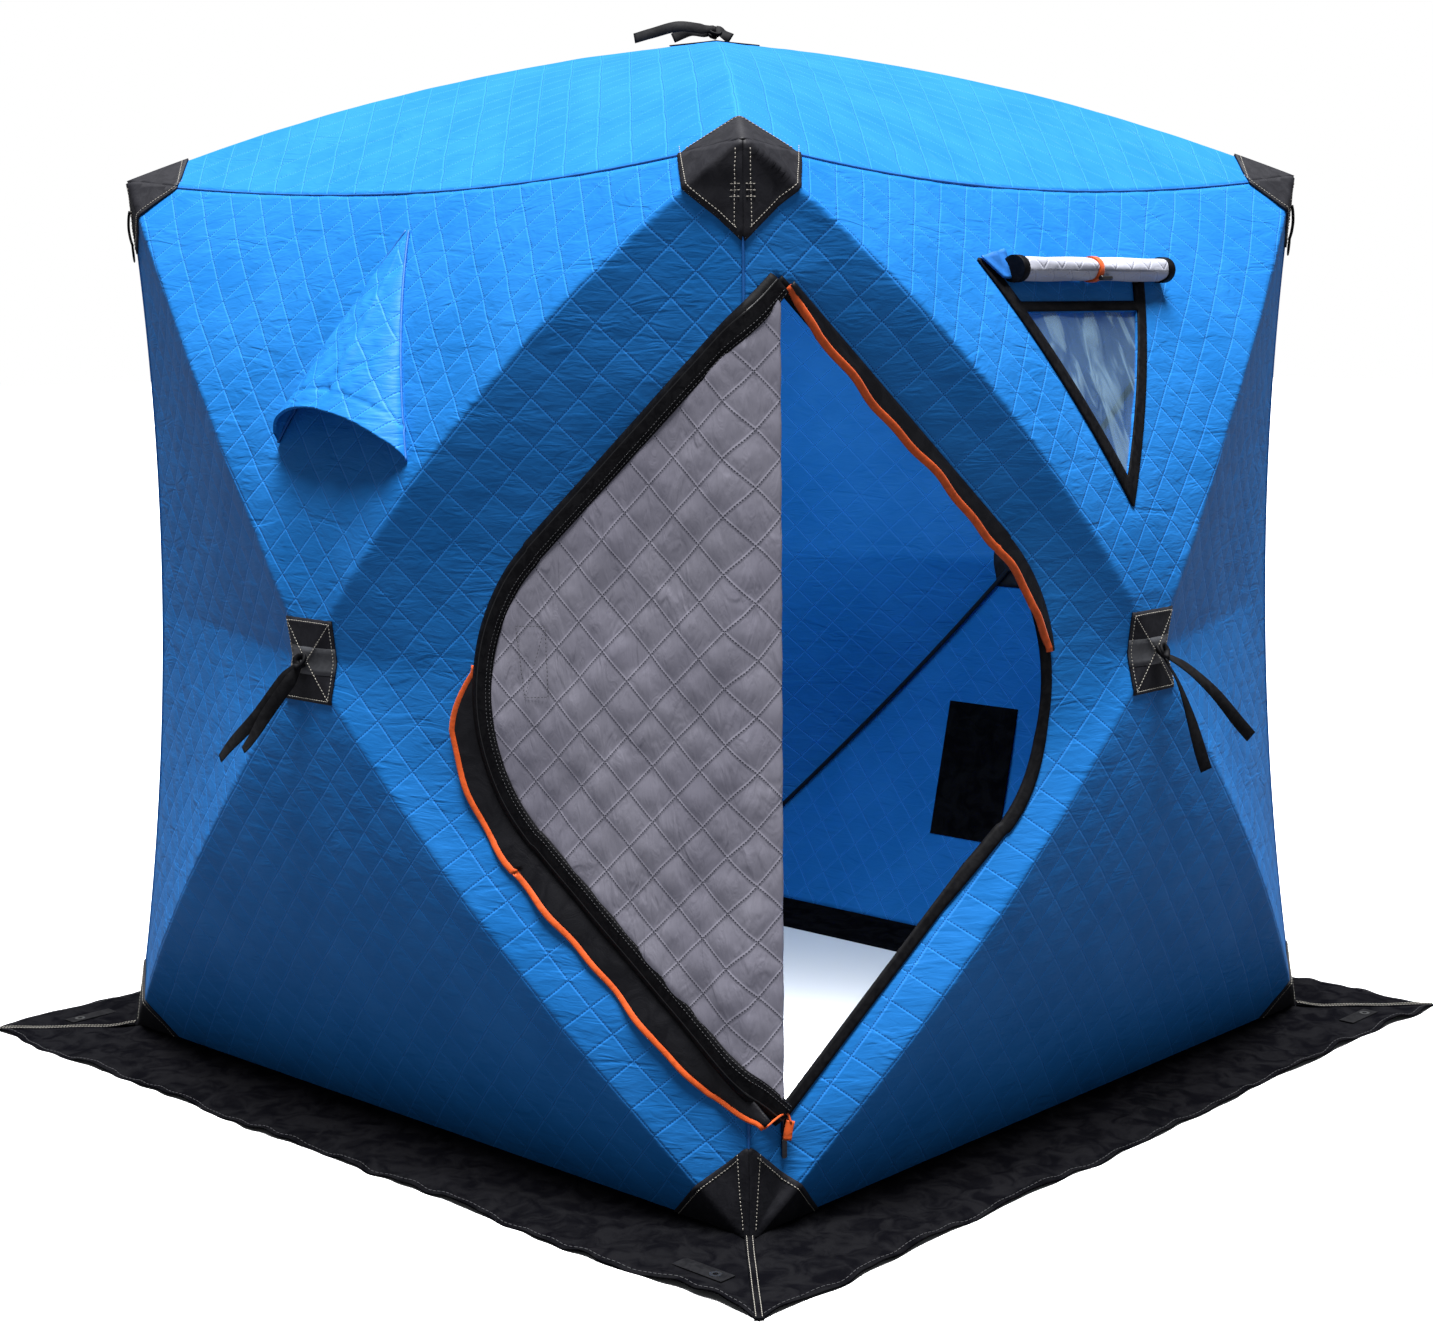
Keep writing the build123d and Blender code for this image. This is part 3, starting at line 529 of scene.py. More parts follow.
def quilted(name, color, light_color, stitch_color, pitch, rough, depth, folds, puckers, beside, dot=5.0):
    """Quilted cloth: dotted stitching at 45 degrees, with creases drawn out by folds, and a painted highlight
    of strength beside along each stitched line. Heights are in mm.
    """
    look = Look(name)
    uv = look.cloth_uv()
    split = look.node("ShaderNodeSeparateXYZ")
    look.link(uv, split.inputs[0])
    x, y = split.outputs[0], split.outputs[1]
    bent = look.noise(uv, 8.0, 1.0)
    bend = look.math("MULTIPLY", look.math("SUBTRACT", bent, 0.5), 0.012)
    size = sqrt(2) * pitch * MM
    far, along = [], []
    for sign in (1, -1):
        place_across = look.math("MULTIPLY_ADD", y, float(sign), look.math("ADD", x, bend))
        position = look.math("DIVIDE", place_across, size)
        far.append(look.math("MULTIPLY", look.math("PINGPONG", position, 0.5), pitch))
        along.append(position)
    nearest = look.math("MINIMUM", far[0], far[1])
    groove = look.step(nearest, 0.0, GROOVE_WIDTH)
    line = look.step(nearest, *THREAD_EDGE, 1.0, 0.0)
    # painted highlight: a pale band beside each stitched line, standing in for the light caught on the puffed
    # cloth
    side = look.step(nearest, *HIGHLIGHT_EDGE, 1.0, 0.0)
    dots = [
        look.math("GREATER_THAN", look.math("FRACT", look.math("MULTIPLY", position, pitch / dot)), 0.4)
        for position in along
    ]
    on_first = look.math("LESS_THAN", far[0], far[1])
    stitch = look.math(
        "ADD",
        look.math("MULTIPLY", on_first, dots[1]),
        look.math("MULTIPLY", look.math("SUBTRACT", 1.0, on_first), dots[0]),
    )
    stitch = look.math("MULTIPLY", line, stitch)
    swell = look.noise(look.stretched(uv, folds), 7.5, 3.0, 0.5, 0.9)
    ripple = look.math("PINGPONG", look.math("MULTIPLY", swell, 5.0), 0.5)
    ripple = look.step(ripple, 0.0, 0.42)
    where = look.step(look.noise(uv, 13.0, 2.0), 0.42, 0.62, 0.1, 1.0)
    ripple = look.math("MULTIPLY", ripple, where)
    small = look.noise(look.stretched(uv, folds, 0.6), 26.0, 3.0, 0.55, 1.2)
    weave = look.noise(uv, 900.0, 1.0)
    height = look.math("MULTIPLY", groove, depth)
    height = look.math("MULTIPLY_ADD", ripple, 0.55 * puckers, height)
    height = look.math("MULTIPLY_ADD", swell, 3.0 * puckers, height)
    height = look.math("MULTIPLY_ADD", small, 1.2 * puckers, height)
    height = look.math("MULTIPLY_ADD", weave, 0.02, height)
    height = look.math("MULTIPLY_ADD", stitch, -0.3, height)
    look.bump(height, 1.0, MM)
    patchy = look.noise(uv, 5.0, 2.0)
    shade = look.mix(look.step(patchy, 0.3, 0.7), (*color, 1), (*light_color, 1))
    # painted highlight colour, mixed in beside the stitched lines with strength beside
    highlight_color = (*[min(1.0, c * 1.5 + 0.012) for c in light_color], 1)
    shade = look.mix(look.math("MULTIPLY", side, beside), shade, highlight_color)
    shade = look.mix(look.math("MULTIPLY", stitch, 0.85), shade, (*stitch_color, 1))
    look.surface(shade, rough, Specular_IOR_Level=0.16)
    look.shader.inputs["Specular Tint"].default_value = (0.5, 0.8, 1.0, 1)
    return look.material


def plain_cloth(name, color, rough, scale, depth, sheen=0.05, weave=500.0, gloss=0.3):
    """Plain woven cloth with soft creases, in object space, painted lighter on the crease tops and darker in
    the hollows.
    """
    spread = 0.25
    look = Look(name)
    where = look.object_place()
    soft = look.noise(where, scale, 4.0, 0.6, 0.8)
    grain = look.noise(where, weave, 1.0)
    height = look.math("MULTIPLY_ADD", grain, 0.06, soft)
    look.bump(height, 0.7, depth)
    # painted shade: the colour follows the crease bump, lighter on the ridges and darker in the hollows
    ridge_highlight = [c * (1 + spread) + 0.004 for c in color]
    shade = look.mix(look.step(soft, 0.35, 0.65), (*color, 1), (*ridge_highlight, 1))
    look.surface(shade, rough, Specular_IOR_Level=gloss)
    look.shader.inputs["Sheen Weight"].default_value = sheen
    return look.material


# beside is the strength of the painted highlight along the stitched lines
BLUE = quilted(
    "quilt_blue", (0.012, 0.16, 0.50), (0.018, 0.185, 0.56), (0.005, 0.07, 0.28),
    pitch=QUILT, rough=0.5, depth=0.65, folds=(0.7, 2.6, 1.0), puckers=1.0, beside=0.5,
)
GREY = quilted(
    "lining_grey", (0.265, 0.255, 0.315), (0.31, 0.30, 0.36), (0.02, 0.02, 0.03),
    pitch=LINING, rough=0.45, depth=0.55, folds=(2.4, 0.7, 1.0), puckers=1.1, beside=0.3,
)
WHITE = quilted(
    "cover_white", (0.42, 0.43, 0.50), (0.50, 0.51, 0.58), (0.25, 0.25, 0.32),
    pitch=COVER_QUILT, rough=0.55, depth=0.7, folds=(1.0, 1.6, 1.0), puckers=0.8, beside=0.2,
)
PLAIN_BLUE = plain_cloth("edge_blue", (0.010, 0.11, 0.38), 0.55, 30.0, 0.001, 0.0)
BLACK = plain_cloth("black_cloth", (0.0026, 0.0026, 0.0036), 0.6, 20.0, 0.003, 0.0, gloss=0.0)
PATCH = plain_cloth("patch_cloth", (0.010, 0.010, 0.0135), 0.6, 45.0, 0.0012, 0.0, gloss=0.2)
WEBBING = plain_cloth("webbing", (0.004, 0.004, 0.005), 0.65, 60.0, 0.0008, 0.0, 700.0, gloss=0.1)
TAPE = plain_cloth("zip_tape", (0.003, 0.003, 0.004), 0.6, 60.0, 0.0008, 0.0, 900.0, gloss=0.08)
STORM = plain_cloth("storm_cloth", (0.006, 0.006, 0.008), 0.42, 26.0, 0.004, 0.0, gloss=0.2)
GLINT = plain_cloth("reflective_band", (0.05, 0.052, 0.058), 0.4, 60.0, 0.0005)
ORANGE = plain_cloth("orange_binding", (0.62, 0.085, 0.008), 0.6, 60.0, 0.0012, 0.1)
THREAD = plain_cloth("pale_thread", (0.34, 0.32, 0.28), 0.7, 300.0, 0.0002)
DARK_THREAD = plain_cloth("dark_thread", (0.05, 0.05, 0.055), 0.7, 300.0, 0.0002)


def hard(name, color, rough, metal=0.0, scale=120.0, depth=0.0002):
    look = Look(name)
    grain = look.noise(look.object_place(), scale, 3.0)
    look.bump(grain, 0.4, depth)
    shade = look.mix(look.step(grain, 0.3, 0.7), (*color, 1), (*[c * 1.25 for c in color], 1))
    look.surface(shade, rough, Metallic=metal)
    return look.material


POLE = hard("pole_rod", (0.006, 0.006, 0.007), 0.35)
PLASTIC = hard("hub_plastic", (0.008, 0.008, 0.009), 0.4)
STEEL = hard("plated_steel", (0.5, 0.5, 0.5), 0.25, 1.0)
GUNMETAL = hard("dark_metal", (0.05, 0.05, 0.055), 0.3, 1.0)


def vinyl():
    look = Look("clear_vinyl")
    where = look.object_place()
    folds = look.noise(look.stretched(where, (1.0, 3.0, 0.8)), 7.0, 2.0, 0.5, 1.4)
    look.bump(folds, 0.8, 0.012)
    look.surface((0.30, 0.45, 0.58, 1), 0.06, Specular_IOR_Level=0.8)
    see = look.node("ShaderNodeBsdfTransparent")
    see.inputs[0].default_value = (0.60, 0.74, 0.84, 1)
    blend = look.node("ShaderNodeMixShader")
    # partly the vinyl's own haze, partly painted highlight streaks: more pale vinyl colour, less see-through,
    # along the raised folds
    painted_fold_highlights = look.step(folds, 0.45, 0.60, 0.14, 0.40)
    look.link(painted_fold_highlights, blend.inputs[0])
    look.link(see.outputs[0], blend.inputs[1])
    look.link(look.shader.outputs[0], blend.inputs[2])
    look.link(blend.outputs[0], look.output.inputs["Surface"])
    return look.material


VINYL = vinyl()


def dress(piece, material, slot, *nodes):
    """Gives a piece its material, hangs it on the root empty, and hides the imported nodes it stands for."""
    piece.data.materials.clear()
    piece.data.materials.append(material)
    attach(piece, "root")
    if nodes:
        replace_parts(piece, *nodes)
    return piece


# Walls
def hub_cover(across, height):
    return np.minimum(72 - np.abs(across), 82 - np.abs(height - HUB_HEIGHT))


WINDOW_OUTLINE = polygon_field(WINDOW_TAPE)
window_inside = polygon_field(WINDOW_CLEAR)


def wall_quilt(name, across, height):
    """Height of the quilting and creases on a wall, in millimetres."""
    seed = TURNS[name]
    s, t = cloth_scale(across, height)
    soft = 1.3 * waves(s, t, 420, seed + 1) + 0.5 * waves(s, t, 130, seed + 2)
    edge = np.clip((corner_at(height, 1) - np.abs(across)) / 60, 0, 1) * np.clip(height / 80, 0, 1)
    edge = edge * np.clip(-hub_cover(across, height) / 14, 0, 1)
    if name == "right":
        edge = edge * np.clip(-WINDOW_OUTLINE(across, height) / 12, 0, 1)
        edge = edge * np.clip((-door_inside(across, height) - 16) / 20, 0.05, 1)
    if name == "front":
        flap = corner_at(height, 0) - across
        flap = np.where((height > 150) & (height < 1620), door_width(height) - 30 - flap, -99)
        edge = edge * np.clip(-flap / 30, 0.05, 1)
    top = np.clip((1790 - height) / 60, 0, 1)
    hub = np.clip(np.hypot(across, height - HUB_HEIGHT) / 120, 0.2, 1)
    return (1.5 * pillows(s, t) + soft * 0.7) * edge * top * hub


def cloth_scale(across, height):
    return across * CLOTH_STRETCH, height * CLOTH_STRETCH


def vent_inside(across, height):
    (middle, level), (wide, high) = VENT_CENTRE, VENT_HALF
    return (1 - np.sqrt(((across - middle) / wide) ** 2 + ((height - level) / high) ** 2)) * high


def door_inside(across, height):
    """Above 0 in the doorway of the right wall."""
    reach = (corner_at(height, 0) + across) / ALONG
    value = np.minimum(reach - FOLD, FOLD + door_width(height) - reach)
    return np.where((height > DOOR_LOW) & (height < DOOR_HIGH), value, -np.abs(value) - 1)


HOLES = {
    "front": lambda a, h: -vent_inside(a, h),
    "right": lambda a, h: -np.maximum(door_inside(a, h), window_inside(a, h)),
}


def build_wall(name, cells=164):
    """Quilted wall with its holes, on a lattice that follows the creases."""
    columns = rows = cells + 1
    share = np.linspace(-1, 1, columns)
    top = eave_top(name, share)
    level = np.linspace(0, 1, rows)
    split = 0.5
    row_level = level[:, None]
    upper = HUB_HEIGHT + (row_level - split) / (1 - split) * (top[None, :] - HUB_HEIGHT)
    height = np.where(row_level <= split, row_level / split * HUB_HEIGHT, upper)
    shares = np.broadcast_to(share, height.shape)
    across = shares * corner_at(height, pulled_at(name, shares))
    spots = np.stack([across.ravel(), height.ravel()], 1)
    middle_share, middle_level = (share[1:] + share[:-1]) / 2, (level[1:] + level[:-1]) / 2
    rising = (middle_share[None, :] > 0) == (middle_level[:, None] > split)
    tris = lattice(columns, rows, rising)
    if name in HOLES:
        spots, tris = trimmed(spots, tris, HOLES[name])

    def outer(a, h):
        return wall_point(name, a, h, wall_quilt(name, a, h))

    def inner(a, h):
        corner = corner_at(h, pulled_at(name, a))
        near = np.clip((np.abs(a) - corner + 40) / 40, 0, 1)
        return wall_point(name, a * (1 - near * CLOTH / corner), h, -CLOTH + 0.4 * wall_quilt(name, a, h))

    piece = closed_sheet(f"{name}_wall_cloth", spots, tris, outer, inner, cloth_scale)
    dress(piece, BLUE, "quilt_blue", f"{name}_wall")


for name in TURNS:
    build_wall(name)


# Roof
def build_roof(cells=150):
    line = np.linspace(-1, 1, cells + 1)
    p, q = np.meshgrid(line, line)
    big = np.maximum(np.abs(p), np.abs(q))
    small = np.minimum(np.abs(p), np.abs(q)) / np.maximum(big, 1e-9)
    reach = big * eave_reach(small)
    share = reach / np.maximum(big, 1e-9)
    x, y = p * share, q * share
    spots = np.stack([x.ravel(), y.ravel()], 1)
    rising = (p[:-1, :-1] + p[1:, 1:] > 0) == (q[:-1, :-1] + q[1:, 1:] > 0)
    tris = lattice(cells + 1, cells + 1, rising)

    def quilt(a, b):
        edge = np.clip((1 - np.maximum(np.abs(a), np.abs(b)) / 850) * 12, 0, 1)
        hub = np.clip(np.hypot(a, b) / 150, 0.1, 1)
        soft = 0.9 * waves(a, b, 380, 5) + 0.4 * waves(a, b, 120, 6)
        return (1.6 * pillows(a, b) + soft * 0.8) * edge * hub

    def outer(a, b):
        return roof_point(a, b, quilt(a, b))

    def inner(a, b):
        return roof_point(a, b, -CLOTH + 0.4 * quilt(a, b))

    piece = closed_sheet("roof_cloth", spots, tris, outer, inner, cloth_scale)
    dress(piece, BLUE, "quilt_blue", "roof")


build_roof()


# Rolled seams along the eaves and down the corners
def seams():
    parts = []
    for name, turn in TURNS.items():
        share = np.linspace(-0.995, 0.995, 120)
        top = eave_top(name, share)
        line = wall_point(name, share * corner_at(top, pulled_at(name, share)), top, 0.0)
        parts.append(sweep_parts(line, ring(2.6, 6), (0, 0, 1)))
        height = np.linspace(20, EAVE_HEIGHT - 25, 80)
        corner = corner_at(height, 0 if name == "front" else 1)
        parts.append(sweep_parts(place(turn, corner, corner, height), ring(2.4, 6), place(turn, 1, 1, 0)))
    dress(joined("seam_rolls", parts), PLAIN_BLUE, "quilt_blue")


seams()


# Door: everything here is placed by its distance from the fold line, then turned round the corner
def flap_point(reach, height, lift):
    """Point on the folded-back flap: reach from the fold line, round the corner and over the front wall."""
    corner = corner_at(height, 0)
    right = np.stack([corner + (FOLD - reach) * OUTWARD, -corner + (FOLD - reach) * ALONG], -1)
    front = np.stack([corner - (reach - FOLD) * ALONG, -corner - (reach - FOLD) * OUTWARD], -1)
    out_right = np.array([ALONG, -OUTWARD])
    out_front = np.array([OUTWARD, -ALONG])
    turn = np.clip((reach - FOLD + 34) / 68, 0, 1)
    turn = turn * turn * (3 - 2 * turn)
    flat = np.where((reach < FOLD)[..., None], right, front)
    corner_round = 8.0 * np.exp(-(((reach - FOLD) / 26.0) ** 2))
    direction = out_right * (1 - turn)[..., None] + out_front * turn[..., None]
    direction = direction / np.linalg.norm(direction, axis=-1)[..., None]
    spot = flat + direction * (lift - corner_round * 0.35)[..., None]
    return np.concatenate([spot, np.broadcast_to(height, reach.shape)[..., None]], -1)


def flap_inside(reach, height):
    return np.minimum(door_width(height) - 12 - reach, reach + 8)


def flap_drape(reach, height):
    """Loose cloth: lifts of the flap off the wall."""
    width = door_width(height)
    loose = np.clip(reach / 90, 0, 1) * np.clip((width - reach) / 50, 0, 1)
    sway = waves(reach, height, 330, 31) * 2.2 + waves(reach, height, 110, 32) * 0.9
    near_fold = 5.0 * np.exp(-((reach / 22.0) ** 2))
    return FLAP_LIFT + 1.5 + loose * (3.0 + sway) + near_fold


def build_flap():
    columns, rows = 100, 236
    level = np.linspace(DOOR_LOW + 22, DOOR_HIGH - 22, rows)
    u, v = np.meshgrid(np.linspace(-6, DOOR_REACH - 140, columns), level)
    spots, tris = trimmed(np.stack([u.ravel(), v.ravel()], 1), lattice(columns, rows), flap_inside)
    spots[:, 0] = np.maximum(spots[:, 0], -6)

    def curl(reach):
        """The cloth rolls in at the fold line."""
        return np.where(reach < 6, -((6 - reach) / 12) ** 2 * 9.0, 0.0)

    def outer(a, h):
        pads = 1.8 * pillows(a, h, LINING) * np.clip((door_width(h) - a) / 40, 0, 1)
        return flap_point(np.maximum(a, -3), h, flap_drape(a, h) + FLAP_THICK - 1.5 + pads + curl(a))

    def inner(a, h):
        return flap_point(np.maximum(a, -1), h, flap_drape(a, h) - 1.0 + 0.3 * curl(a))

    piece = closed_sheet("door_flap_lining", spots, tris, outer, inner)
    dress(piece, GREY, "lining_grey", "door_flap")


build_flap()


def lengths(path):
    """Distance along a path at each of its points."""
    return np.concatenate([[0], np.cumsum(np.linalg.norm(np.diff(path, axis=0), axis=1))])


def door_edge(low, high, samples, count=None):
    """Even steps along the door's curved edge: the places, the way out from the door and the distances."""
    height = np.linspace(low, high, samples)
    line = np.stack([door_width(height), height], 1)
    size = lengths(line)
    even = np.linspace(0, size[-1], count or int(size[-1] / 8))
    line = np.stack([np.interp(even, size, line[:, k]) for k in range(2)], 1)
    tangent = np.gradient(line, axis=0)
    tangent /= np.linalg.norm(tangent, axis=1)[:, None]
    return line, np.stack([tangent[:, 1], -tangent[:, 0]], 1), even


def ribbon(name, line, away, offsets, lifts, thick, surface):
    """Cloth strip beside a line: offsets across it, each with its lift off the surface, closed and thin."""
    rows, columns = len(line), np.shape(offsets)[-1]
    offsets, lifts = (np.broadcast_to(np.asarray(part, float), (rows, columns)) for part in (offsets, lifts))
    spot = line[:, None, :] + away[:, None, :] * offsets[:, :, None]
    u, v = spot[..., 0], spot[..., 1]
    top, under = (surface(u, v, lifts + up).reshape(-1, 3) for up in (thick, 0.0))
    return shell(name, top, under, lattice(columns, rows), np.stack([u.ravel(), v.ravel()], 1))


def door_surface(reach, height, lift):
    """Point beside the doorway on the right wall: reach from the fold line."""
    across = -(corner_at(height, 0) - (reach + FOLD) * ALONG)
    return wall_point("right", across, height, lift)


def front_surface(reach, height, lift):
    """Point on the front wall, mirrored from the doorway over the fold."""
    across = corner_at(height, 0) - (reach - FOLD) * ALONG
    return wall_point("front", across, height, lift)


def stitches(paths, dash=4.2, gap=2.4, thick=0.7):
    parts = []
    for path in paths:
        path = np.asarray(path, float)
        size = lengths(path)
        start = 0.0
        while start + dash < size[-1]:
            ends = np.array([start, start + dash])
            spots = np.stack([np.interp(ends, size, path[:, k]) for k in range(3)], 1)
            parts.append(sweep_parts(spots, ring(thick, 4), (0.3, 0.4, 0.86)))
            start += dash + gap
    return parts


def line_on(surface, corners, lift, step=8.0):
    """Straight runs between corners, laid on a surface."""
    spots = []
    corners = np.asarray(corners, float)
    for first, last in zip(corners, corners[1:]):
        count = max(2, int(np.linalg.norm(last - first) / step) + 1)
        spots.append(first + (last - first) * np.linspace(0, 1, count)[:, None])
    spots = np.concatenate(spots)
    return surface(spots[:, 0], spots[:, 1], lift)


def door_edges():
    line, away, along = door_edge(DOOR_LOW + 6, DOOR_HIGH - 6, 1200, 260)
    sway = 1.2 * np.sin(along / 60.0) + 0.8 * np.sin(along / 23.0 + 1.0)
    offsets = np.linspace(-TAPE_WIDTH - 6, 12, 6)
    base = FLAP_LIFT + FLAP_THICK + 1.5
    lifts = base + np.array([1.5, 3.2, 2.4, 2.2, 0.5, -5.0])[None, :] + sway[:, None] * 0.5
    tape = ribbon("door_flap_zip_tape", line, away, offsets, lifts, 2.0, flap_point)
    dress(tape, TAPE, "zip_tape", "door_flap_tape")

    def beside(offset, lift):
        spot = line + away * offset
        return flap_point(spot[:, 0], spot[:, 1], base + lift + sway * 0.5)

    coil = sweep_parts(beside(-2.0, 1.5), ring(2.6, 6), (0.7, -0.7, 0))
    dress(joined("door_flap_zip_coil", [coil]), PLASTIC, "zip_tape")
    rows = [beside(-TAPE_WIDTH - 3, 4.4), beside(-TAPE_WIDTH + 4, 5.4)]
    rows.append(line_on(flap_point, TACK_BOX, base + 4.5))
    dress(joined("door_flap_stitching", stitches(rows, 4.0, 3.0, 0.55)), DARK_THREAD, "webbing")

    offsets, lifts = [-15.0, -9.0, -3.0, 1.0, 6.0], [-2.0, 0.5, 2.5, 3.0, 2.0]
    zip_band = ribbon("doorway_zip_tape", line, away, offsets, lifts, 2.0, door_surface)
    dress(zip_band, TAPE, "zip_tape", "doorway_zip")


door_edges()


def storm_flap(name, node, low, high, width, surface, inner_edge, lift, seed):
    """Strip that covers the zip, with an orange binding on its free edge."""
    line, away, even = door_edge(low, high, 800)
    share = even / even[-1]
    taper = np.clip(np.minimum(share, 1 - share) * 9, 0.12, 1) ** 0.6
    wobble = 2.5 * np.sin(even / 47.0 + seed) + 1.6 * np.sin(even / 19.0 + 2 * seed)
    columns = np.linspace(0, 1, 8)
    offsets = inner_edge + columns[None, :] * (width * taper + wobble * 0.8)[:, None]
    lifts = lift + columns[None, :] ** 1.5 * (3.5 + wobble * 0.9)[:, None]
    lifts = lifts + np.sin(columns * pi)[None, :] * 3.5
    strip = ribbon(name, line, away, offsets, lifts, 2.0, surface)
    dress(strip, STORM, "storm_cloth", node)
    piping = line + away * offsets[:, -1:]
    path = surface(piping[:, 0], piping[:, 1], lifts[:, -1] + 1.5)
    binding = sweep_parts(path, ring(7.0, 8, 2.4), (0.7, -0.7, 0.2))
    dress(joined(name + "_binding", [binding]), ORANGE, "orange_cord")
    return path


def zip_pull(start):
    """Orange cord from the storm flap's lower end to the tag below the doorway."""

    def run(spots):
        return [door_surface(np.array(reach), np.array(height), lift) for reach, height, lift in spots]

    cord = curve_through([start, *run([(2.0, 214.0, 14.0), (14.0, 196.0, 16.0)])], 4.0)
    tag = curve_through(run([(14.0, 198.0, 14.0), (10.0, 184.0, 14.0), (8.0, 168.0, 14.0)]), 4.0)
    runs = ((cord, ring(2.2, 6)), (tag, band(15.0, 5.0)))
    parts = [sweep_parts(path, section, (0.7, -0.7, 0)) for path, section in runs]
    dress(joined("zip_pull_cord", parts), ORANGE, "orange_cord")


lower_binding = storm_flap(
    "lower_storm_cloth", "lower_storm_flap", low=215, high=935, width=58,
    surface=front_surface, inner_edge=-2.0, lift=2.0, seed=3,
)
zip_pull(lower_binding[0])
storm_flap(
    "upper_storm_cloth", "upper_storm_flap", low=940, high=1580, width=-34,
    surface=door_surface, inner_edge=14.0, lift=4.5, seed=5,
)


# Patches
PALE = []


def on_wall(name):
    return lambda a, h, lift: wall_point(name, a, h, lift)


def hub_patches():
    wide, rise = HUB_PATCH_HALF, HUB_PATCH_RISE
    w, r = wide - HUB_PATCH_HEM, rise - HUB_PATCH_HEM

    def patch(name, surface, half, high, cell, low, top, material=PATCH, middle=HUB_HEIGHT):
        box = ((-half, middle - high), (half, middle + high))
        return dress(decal(name, box, cell, None, surface, low, top), material, "black_cloth")

    for name in TURNS:
        surface = on_wall(name)
        patch(f"{name}_hub_patch", surface, wide, rise, 9.0, 0.5, 3.0)
        patch(f"{name}_hub_patch_band", surface, wide + 0.5, 25, 9.0, 3.0, 3.9, GLINT)
        for corners in ([(-w, -r), (w, -r), (w, r), (-w, r), (-w, -r), (w, r)], [(-w, r), (w, -r)]):
            PALE.append(line_on(surface, [(a, HUB_HEIGHT + h) for a, h in corners], 4.6))
        patch(f"{name}_hub_inner_patch", surface, 60, 66, 12.0, -CLOTH - 3.0, -CLOTH - 0.5)
    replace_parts(patch("roof_hub_patch", roof_point, 66, 66, 9.0, 0.5, 3.0, middle=0), "hub_patches")


hub_patches()


def wall_patch(name, wall, side, top):
    """One wall's share of a corner patch, with its stitching. side is 1 or -1, as the patch's across is."""
    low, high = (1640, 1830) if top else (4.0, 170.0)
    corners = [(a * side, h) for a, h in (TOP_PATCH if top else BASE_PATCH)]
    shape, pulled = polygon_field(corners), float((wall, side) not in DOOR_SIDES)
    seed = TURNS[wall] + (1 if top else 2)

    def keep(a, h):
        value = np.minimum(shape(a, h), corner_at(h, pulled) + OVER_EDGE - np.abs(a))
        return np.minimum(value, EAVE_HEIGHT - EAVE + wall_out(wall, a, h) - h + OVER_EDGE)

    def surface(a, h, lift):
        return wall_point(wall, a, h, lift + 0.8 * waves(a, h, 70, seed))

    reach = [a for a, h in corners]
    box = ((min(reach), low), (max(reach), high))
    piece = dress(decal(f"{name}_{wall}", box, 7.0, keep, surface, *PATCH_LIFT), PATCH, "black_cloth")
    runs = [(run, SEAM_LIFT) for run in (TOP_SEAMS if top else BASE_SEAMS)]
    runs += [(run, TACK_LIFT) for run in BAR_TACKS if top]
    for run, lift in runs:
        PALE.append(line_on(surface, [(a * side, h) for a, h in run], lift))
    return piece


def roof_patch(name, turn):
    """The roof's share of a top corner patch."""
    sx, sy = place(turn, 1, 1, 0)[:2]
    corners = [(x * sx, y * sy) for x, y in ROOF_PATCH]
    shape = polygon_field(corners)

    def keep(x, y):
        edge = roof_height(x, y) - (EAVE_HEIGHT - EAVE) - np.maximum(np.abs(x), np.abs(y)) + OVER_EDGE
        return np.minimum(shape(x, y), edge)

    xs, ys = zip(*corners)
    box = ((min(xs), min(ys)), (max(xs), max(ys)))
    dress(decal(f"{name}_roof", box, 7.0, keep, roof_point, *PATCH_LIFT), PATCH, "black_cloth")
    PALE.append(line_on(roof_point, [(x * sx, y * sy) for x, y in ROOF_SEAM], SEAM_LIFT))


def corner_patches():
    walls = [*TURNS, "front"]
    for corner, first, second in zip(("near", "right", "back", "left"), walls, walls[1:]):
        for top in (True, False):
            name = f"{corner}_top_patch" if top else f"{corner}_base_patch"
            piece = wall_patch(name, first, 1, top)
            wall_patch(name, second, -1, top)
            if top:
                roof_patch(name, TURNS[first])
            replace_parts(piece, name)


corner_patches()


